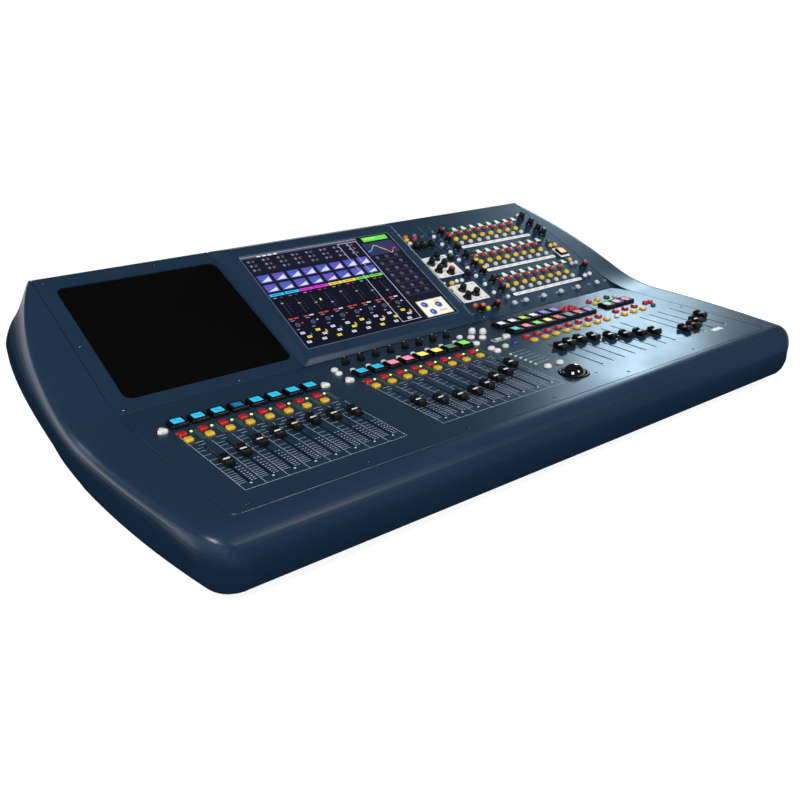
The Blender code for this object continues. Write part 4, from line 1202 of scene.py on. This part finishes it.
def build_strip_printing():
    ink = Piece("meter_deck_printing")
    for row in STRIP_ROWS:
        print_strip_row(ink, row)
    for s0, s1 in ((4.52, 6.72), (1.84, 3.62)):
        middle, half = area((5.42, 7.42), (s0, s1))
        ink.block(middle, half, 0.0012, ((0.0, INK_LOW), (0.0, 0.0004), (0.0003, 0.0006)), WHITE_PLATE, 3)
        for k in range(4):
            x = 5.77 + 0.42 * k
            ink.bar((x, x + 0.26), (s0 + 0.14, s0 + 0.19), 0.0005, 0.0007, INK_FAINT)
            ink.bar((x, x + 0.20), (s1 - 0.22, s1 - 0.17), 0.0005, 0.0007, INK_FAINT)
    for s_span in ((4.55, 6.45), (1.85, 3.55)):
        ink.bar((5.26, 5.37), s_span, INK_LOW, 0.0005, WHITE_PLATE)
    for x in (7.62, 8.42):
        print_meter(ink, x, 0.6, 10.1, 0.0005, INK_FAINT)
    middle, half = area((16.10, 16.98), (4.05, 5.12))
    ink.block(middle, half, 0.0020, flat(INK_LOW, 0.0005), WHITE_PLATE, 3)
    ink.block(middle, (0.0108, 0.0108), 0.0026, ((0.0, 0.0), (0.0, 0.0040), (0.0008, 0.0050)), BEZEL, 4)
    ink.block(middle, (0.0078, 0.0078), 0.0008, flat(0.0048, 0.0053), GLOWS["peach"], 2)
    for k in range(6):
        x = 9.27 + 1.58 * k
        ink_bar(ink, (x, x + 0.40), (0.90, 0.92))
        ink_bar(ink, (x, x + 0.30), (0.78, 0.80))
    ink.place(UPPER, "console", "navy_panel")


# Knobs of the column beside the strips as (s, colour), and the others as (x, s, colour)
COLUMN_KNOBS = ((8.86, "red"), (8.02, "red"), (7.02, "green"), (6.06, None), (5.10, "lime"), (4.20, "lime"),
                (3.18, None), (2.24, "blue"))
BOX_KNOBS = (
    (5.72, 6.02, None), (6.48, 5.66, None), (5.74, 5.20, None), (6.46, 4.84, "crimson"), (6.46, 6.44, None),
    (7.28, 6.04, "green"), (5.98, 3.02, None), (6.62, 2.42, None), (5.80, 2.26, None), (7.32, 4.22, None),
    (5.86, 0.92, "orange"), (7.10, 0.92, "red"),
)
RIGHT_KNOBS = ((16.55, 9.05, None), (16.68, 8.20, None), (16.72, 7.42, None), (16.76, 6.86, "green"),
               (16.86, 2.58, "crimson"))
# Round keys as (x, s, half size in mm, colour)
ROUND_KEYS = (
    (5.88, 9.12, 5.0, "orange"), (5.74, 8.80, 5.0, "yellow"), (5.74, 8.40, 4.6, "white"),
    (6.62, 9.12, 4.6, "lilac"), (6.40, 8.78, 5.0, "red"), (7.08, 8.85, 5.0, "green"),
    (5.78, 3.84, 5.0, "yellow"), (5.20, 3.92, 3.0, "white"), (5.18, 3.16, 3.6, "red"),
    (6.66, 3.90, 4.4, "pale_green"), (6.24, 3.92, 4.2, "white"), (5.78, 1.42, 4.6, "orange"),
    (6.44, 0.92, 5.0, "lime"), (16.48, 5.92, 4.8, "green"), (16.26, 5.46, 4.8, "yellow"),
    (16.72, 5.46, 4.8, "yellow"), (16.48, 3.60, 4.8, "yellow"), (16.28, 3.20, 4.6, "grey"),
    (16.70, 3.18, 4.6, "grey"), (16.20, 1.75, 4.8, "white"), (16.72, 1.80, 4.8, "white"),
    (16.52, 9.42, 4.2, "white"), (8.66, 1.50, 4.6, "grey"),
)
FIXED_SEAT = -0.0002


def build_strip_controls():
    """Knobs and keys of the meter deck that are fixed in this model."""
    knobs = Piece("meter_deck_knobs")
    groups = ((1.15, [(8.72, s, colour) for s, colour in COLUMN_KNOBS]), (1.2, BOX_KNOBS),
              (1.1, [(x, 7.74, None) for x in (5.68, 6.24, 6.97)]), (1.15, RIGHT_KNOBS))
    for skirt, places in groups:
        for x, s, colour in places:
            add_knob(knobs, x, s, colour, skirt)
    knobs.place(UPPER, "console", "black_plastic", (), 35.0)

    keys = Piece("meter_deck_buttons")
    for k in range(8):
        add_key(keys, deck_point(8.06, 9.10 - 0.945 * k), 4.4, "square", KEYS["blue"], FIXED_SEAT)
        add_key(keys, deck_point(7.98, 8.66 - 0.93 * k), 4.4, "dome", KEYS["white"], FIXED_SEAT)
    for x, s, size, colour in ROUND_KEYS:
        add_key(keys, deck_point(x, s), size, "dome", KEYS[colour], FIXED_SEAT)
    for x in (8.68, 9.70, 11.34, 12.96, 14.60, 16.52):
        add_key(keys, deck_point(x, 0.84), 4.8, "square", KEYS["grey"], FIXED_SEAT)
    keys.place(UPPER, "console", "key_rubber", (), 40.0)


# ---------------------------------------------------------------- base, feet and rear

def recolour(node, material):
    """Give a kept CAD node its finish."""
    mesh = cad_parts[node].data
    mesh.materials.clear()
    mesh.materials.append(material)


def add_round_socket(rear, place):
    """A three-pin socket with its flange."""
    rear.turned(place, ((0.0125, 0.0), (0.0125, 0.0016), (0.0118, 0.0022), (0.0092, 0.0022)), SOCKET, 28)
    rear.turned(place, flat(0.0021, 0.0026, 0.0082), SCREW, 24)
    rear.turned(place, flat(0.0025, 0.0028, 0.0070), SLOT, 24)
    for angle in around(3, math.pi / 2.0):
        rear.turned(polar(place, 0.0038, angle), ((0.0009, 0.0027), (0.0007, 0.0038)), SCREW, 8)


def build_rear():
    """The connector panel: generic round sockets, vents, two inlets and screws."""
    rear = Piece("rear_connectors")
    upright = (Matrix.Translation((0.0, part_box("rear_panel")[1].y, 0.0))
               @ Matrix.Rotation(math.pi / 2.0, 4, "X") @ Matrix.Scale(-1.0, 4, (0.0, 0.0, 1.0)))
    for row in range(3):
        for k in range(12):
            add_round_socket(rear, (0.06 + 0.034 * k, 0.085 + 0.036 * row))
    for x in (-0.40, -0.27):
        rear.block((x, 0.115), (0.052, 0.050), 0.003, ((0.0, 0.0), (0.0, 0.0014), (0.0005, 0.0018)), ZINC, 3)
        # The vent openings are black bars of painted shade laid on the plate, where the dark inside would
        # show
        for line in range(9):
            rear.block((x, 0.079 + 0.009 * line), (0.040, 0.0022), 0.0020, flat(0.0017, 0.0020), SLOT, 3)
    for x, y in ((-0.13, 0.10), (-0.13, 0.15)):
        rear.block((x, y), (0.0240, 0.0165), 0.0030, ((0.0, 0.0), (0.0, 0.0020), (0.0010, 0.0028)), SOCKET, 4)
        rear.block((x, y), (0.0140, 0.0090), 0.0030, flat(0.0027, 0.0031), SLOT, 4)
        for side in (-1.0, 1.0):
            rear.turned((x + side * 0.0195, y), ((0.0022, 0.0020), (0.0016, 0.0034)), SCREW, 14)
    for x in (-0.50, -0.20, -0.02, 0.02, 0.48):
        for z in (0.070, 0.190):
            rear.turned((x, z), ((0.0030, 0.0), (0.0028, 0.0010), (0.0015, 0.0014)), SCREW, 16)
    rear.place(upright, "console", "black_plastic", (), 35.0)


KEPT_NODES = {"base_pan": ZINC, "rear_panel": PANEL, "main_board": BOARD, "power_supply": ZINC,
              "fader_bed": SOCKET}


def build_base():
    for node, material in KEPT_NODES.items():
        recolour(node, material)
    for node in ("foot_front_left", "foot_front_right", "foot_rear_left", "foot_rear_right"):
        low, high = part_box(node)
        foot = Piece(f"{node}_tread")
        place = ((low.x + high.x) / 2.0, (low.y + high.y) / 2.0)
        radius = (high.x - low.x) / 2.0
        top = high.z
        foot.turned(place, ((0.86 * radius, 0.0), (0.93 * radius, 0.0006), (0.985 * radius, 0.0020),
                            (radius, 0.0035), (0.97 * radius, 0.0042), (0.97 * radius, top)), RUBBER, 48)
        foot.place(Matrix.Identity(4), "console", "foot_rubber", (node,), 40.0)


# ---------------------------------------------------------------- studio

FLOOR_R = 12.0
FLOOR_BEND = 1.5
FLOOR_RIM = 3.1


def build_floor():
    """A pale round floor that bends up far away. It glows a little, so that it comes out white."""
    floor_mesh = bpy.data.meshes.new("studio_floor")
    bm = bmesh.new()
    profile = [(0.02, 0.0), (FLOOR_R, 0.0)]
    profile += [(FLOOR_R + FLOOR_BEND * math.sin(a), FLOOR_BEND - FLOOR_BEND * math.cos(a))
                for a in QUARTER_TURN[1:]]
    profile.append((FLOOR_R + FLOOR_BEND, FLOOR_RIM))
    spokes = 64
    rows = [[bm.verts.new((*polar((0.0, 0.0), radius, angle), z)) for angle in around(spokes)]
            for radius, z in profile]
    bm.faces.new(rows[0])
    for inner, outer in zip(rows, rows[1:]):
        for k in range(spokes):
            n = (k + 1) % spokes
            bm.faces.new((inner[k], outer[k], outer[n], inner[n]))
    bm.to_mesh(floor_mesh)
    bm.free()
    floor_mesh.shade_smooth()
    floor = bpy.data.objects.new("studio_floor", floor_mesh)
    bpy.context.scene.collection.objects.link(floor)
    pale = bpy.data.materials.new("studio_pale")
    pale.use_nodes = True
    shader = pale.node_tree.nodes["Principled BSDF"]
    set_sockets(shader, {"Base Color": (0.30, 0.30, 0.30, 1.0), "Roughness": 0.9, "Specular IOR Level": 0.1,
                         "Emission Color": (1.0, 1.0, 1.0, 1.0), "Emission Strength": 0.92})
    floor_mesh.materials.append(pale)


def softbox(name, place, aim, size, power, colour=(1.0, 1.0, 1.0)):
    """A rectangular lamp that faces a point."""
    data = bpy.data.lights.new(name, "AREA")
    data.shape = "RECTANGLE"
    data.size, data.size_y = size
    data.energy = power
    data.color = colour
    light = bpy.data.objects.new(name, data)
    bpy.context.scene.collection.objects.link(light)
    light.location = place
    light.rotation_euler = (Vector(aim) - Vector(place)).to_track_quat("-Z", "Y").to_euler()


def build_studio():
    build_floor()
    world = bpy.data.worlds.new("studio_air")
    world.use_nodes = True
    set_sockets(world.node_tree.nodes["Background"], {"Color": (0.85, 0.93, 1.0, 1.0), "Strength": 0.06})
    bpy.context.scene.world = world
    softbox("front_key", (-2.6, -2.3, 3.2), (0.0, 0.0, 0.1), (1.6, 1.6), 170.0)
    softbox("armrest_light", (1.2, -2.7, 2.6), (-0.4, -0.3, 0.1), (0.9, 0.9), 42.0)
    softbox("ridge_light", (-1.4, 3.6, 1.5), (-0.6, -0.1, 0.13), (1.0, 0.5), 14.0, (0.80, 0.92, 1.0))
    softbox("deck_glow", (3.23, 1.67, 1.82), (0.20, -0.30, 0.10), (0.65, 0.45), 20.0, (0.60, 0.84, 1.0))


def build_camera():
    data = bpy.data.cameras.new("studio_camera")
    data.lens = 37.877
    data.sensor_width = 36.0
    data.shift_x = 0.00178
    data.shift_y = 0.06595
    camera = bpy.data.objects.new("studio_camera", data)
    bpy.context.scene.collection.objects.link(camera)
    camera.location = (-0.86382, -1.10818, 0.47004)
    camera.rotation_euler = [math.radians(angle) for angle in (69.4572, 4.8966, -37.3689)]
    bpy.context.scene.camera = camera


build_camera()
build_studio()
build_shell()
build_lower_panel()
build_upper_panels()
build_mats()
build_faders()
build_encoders()
build_trackball()
build_printing()
build_screws()
build_display_housing()
build_screen()
build_strip_printing()
build_strip_controls()
build_rear()
build_base()
bpy.context.scene.view_settings.view_transform = "Standard"
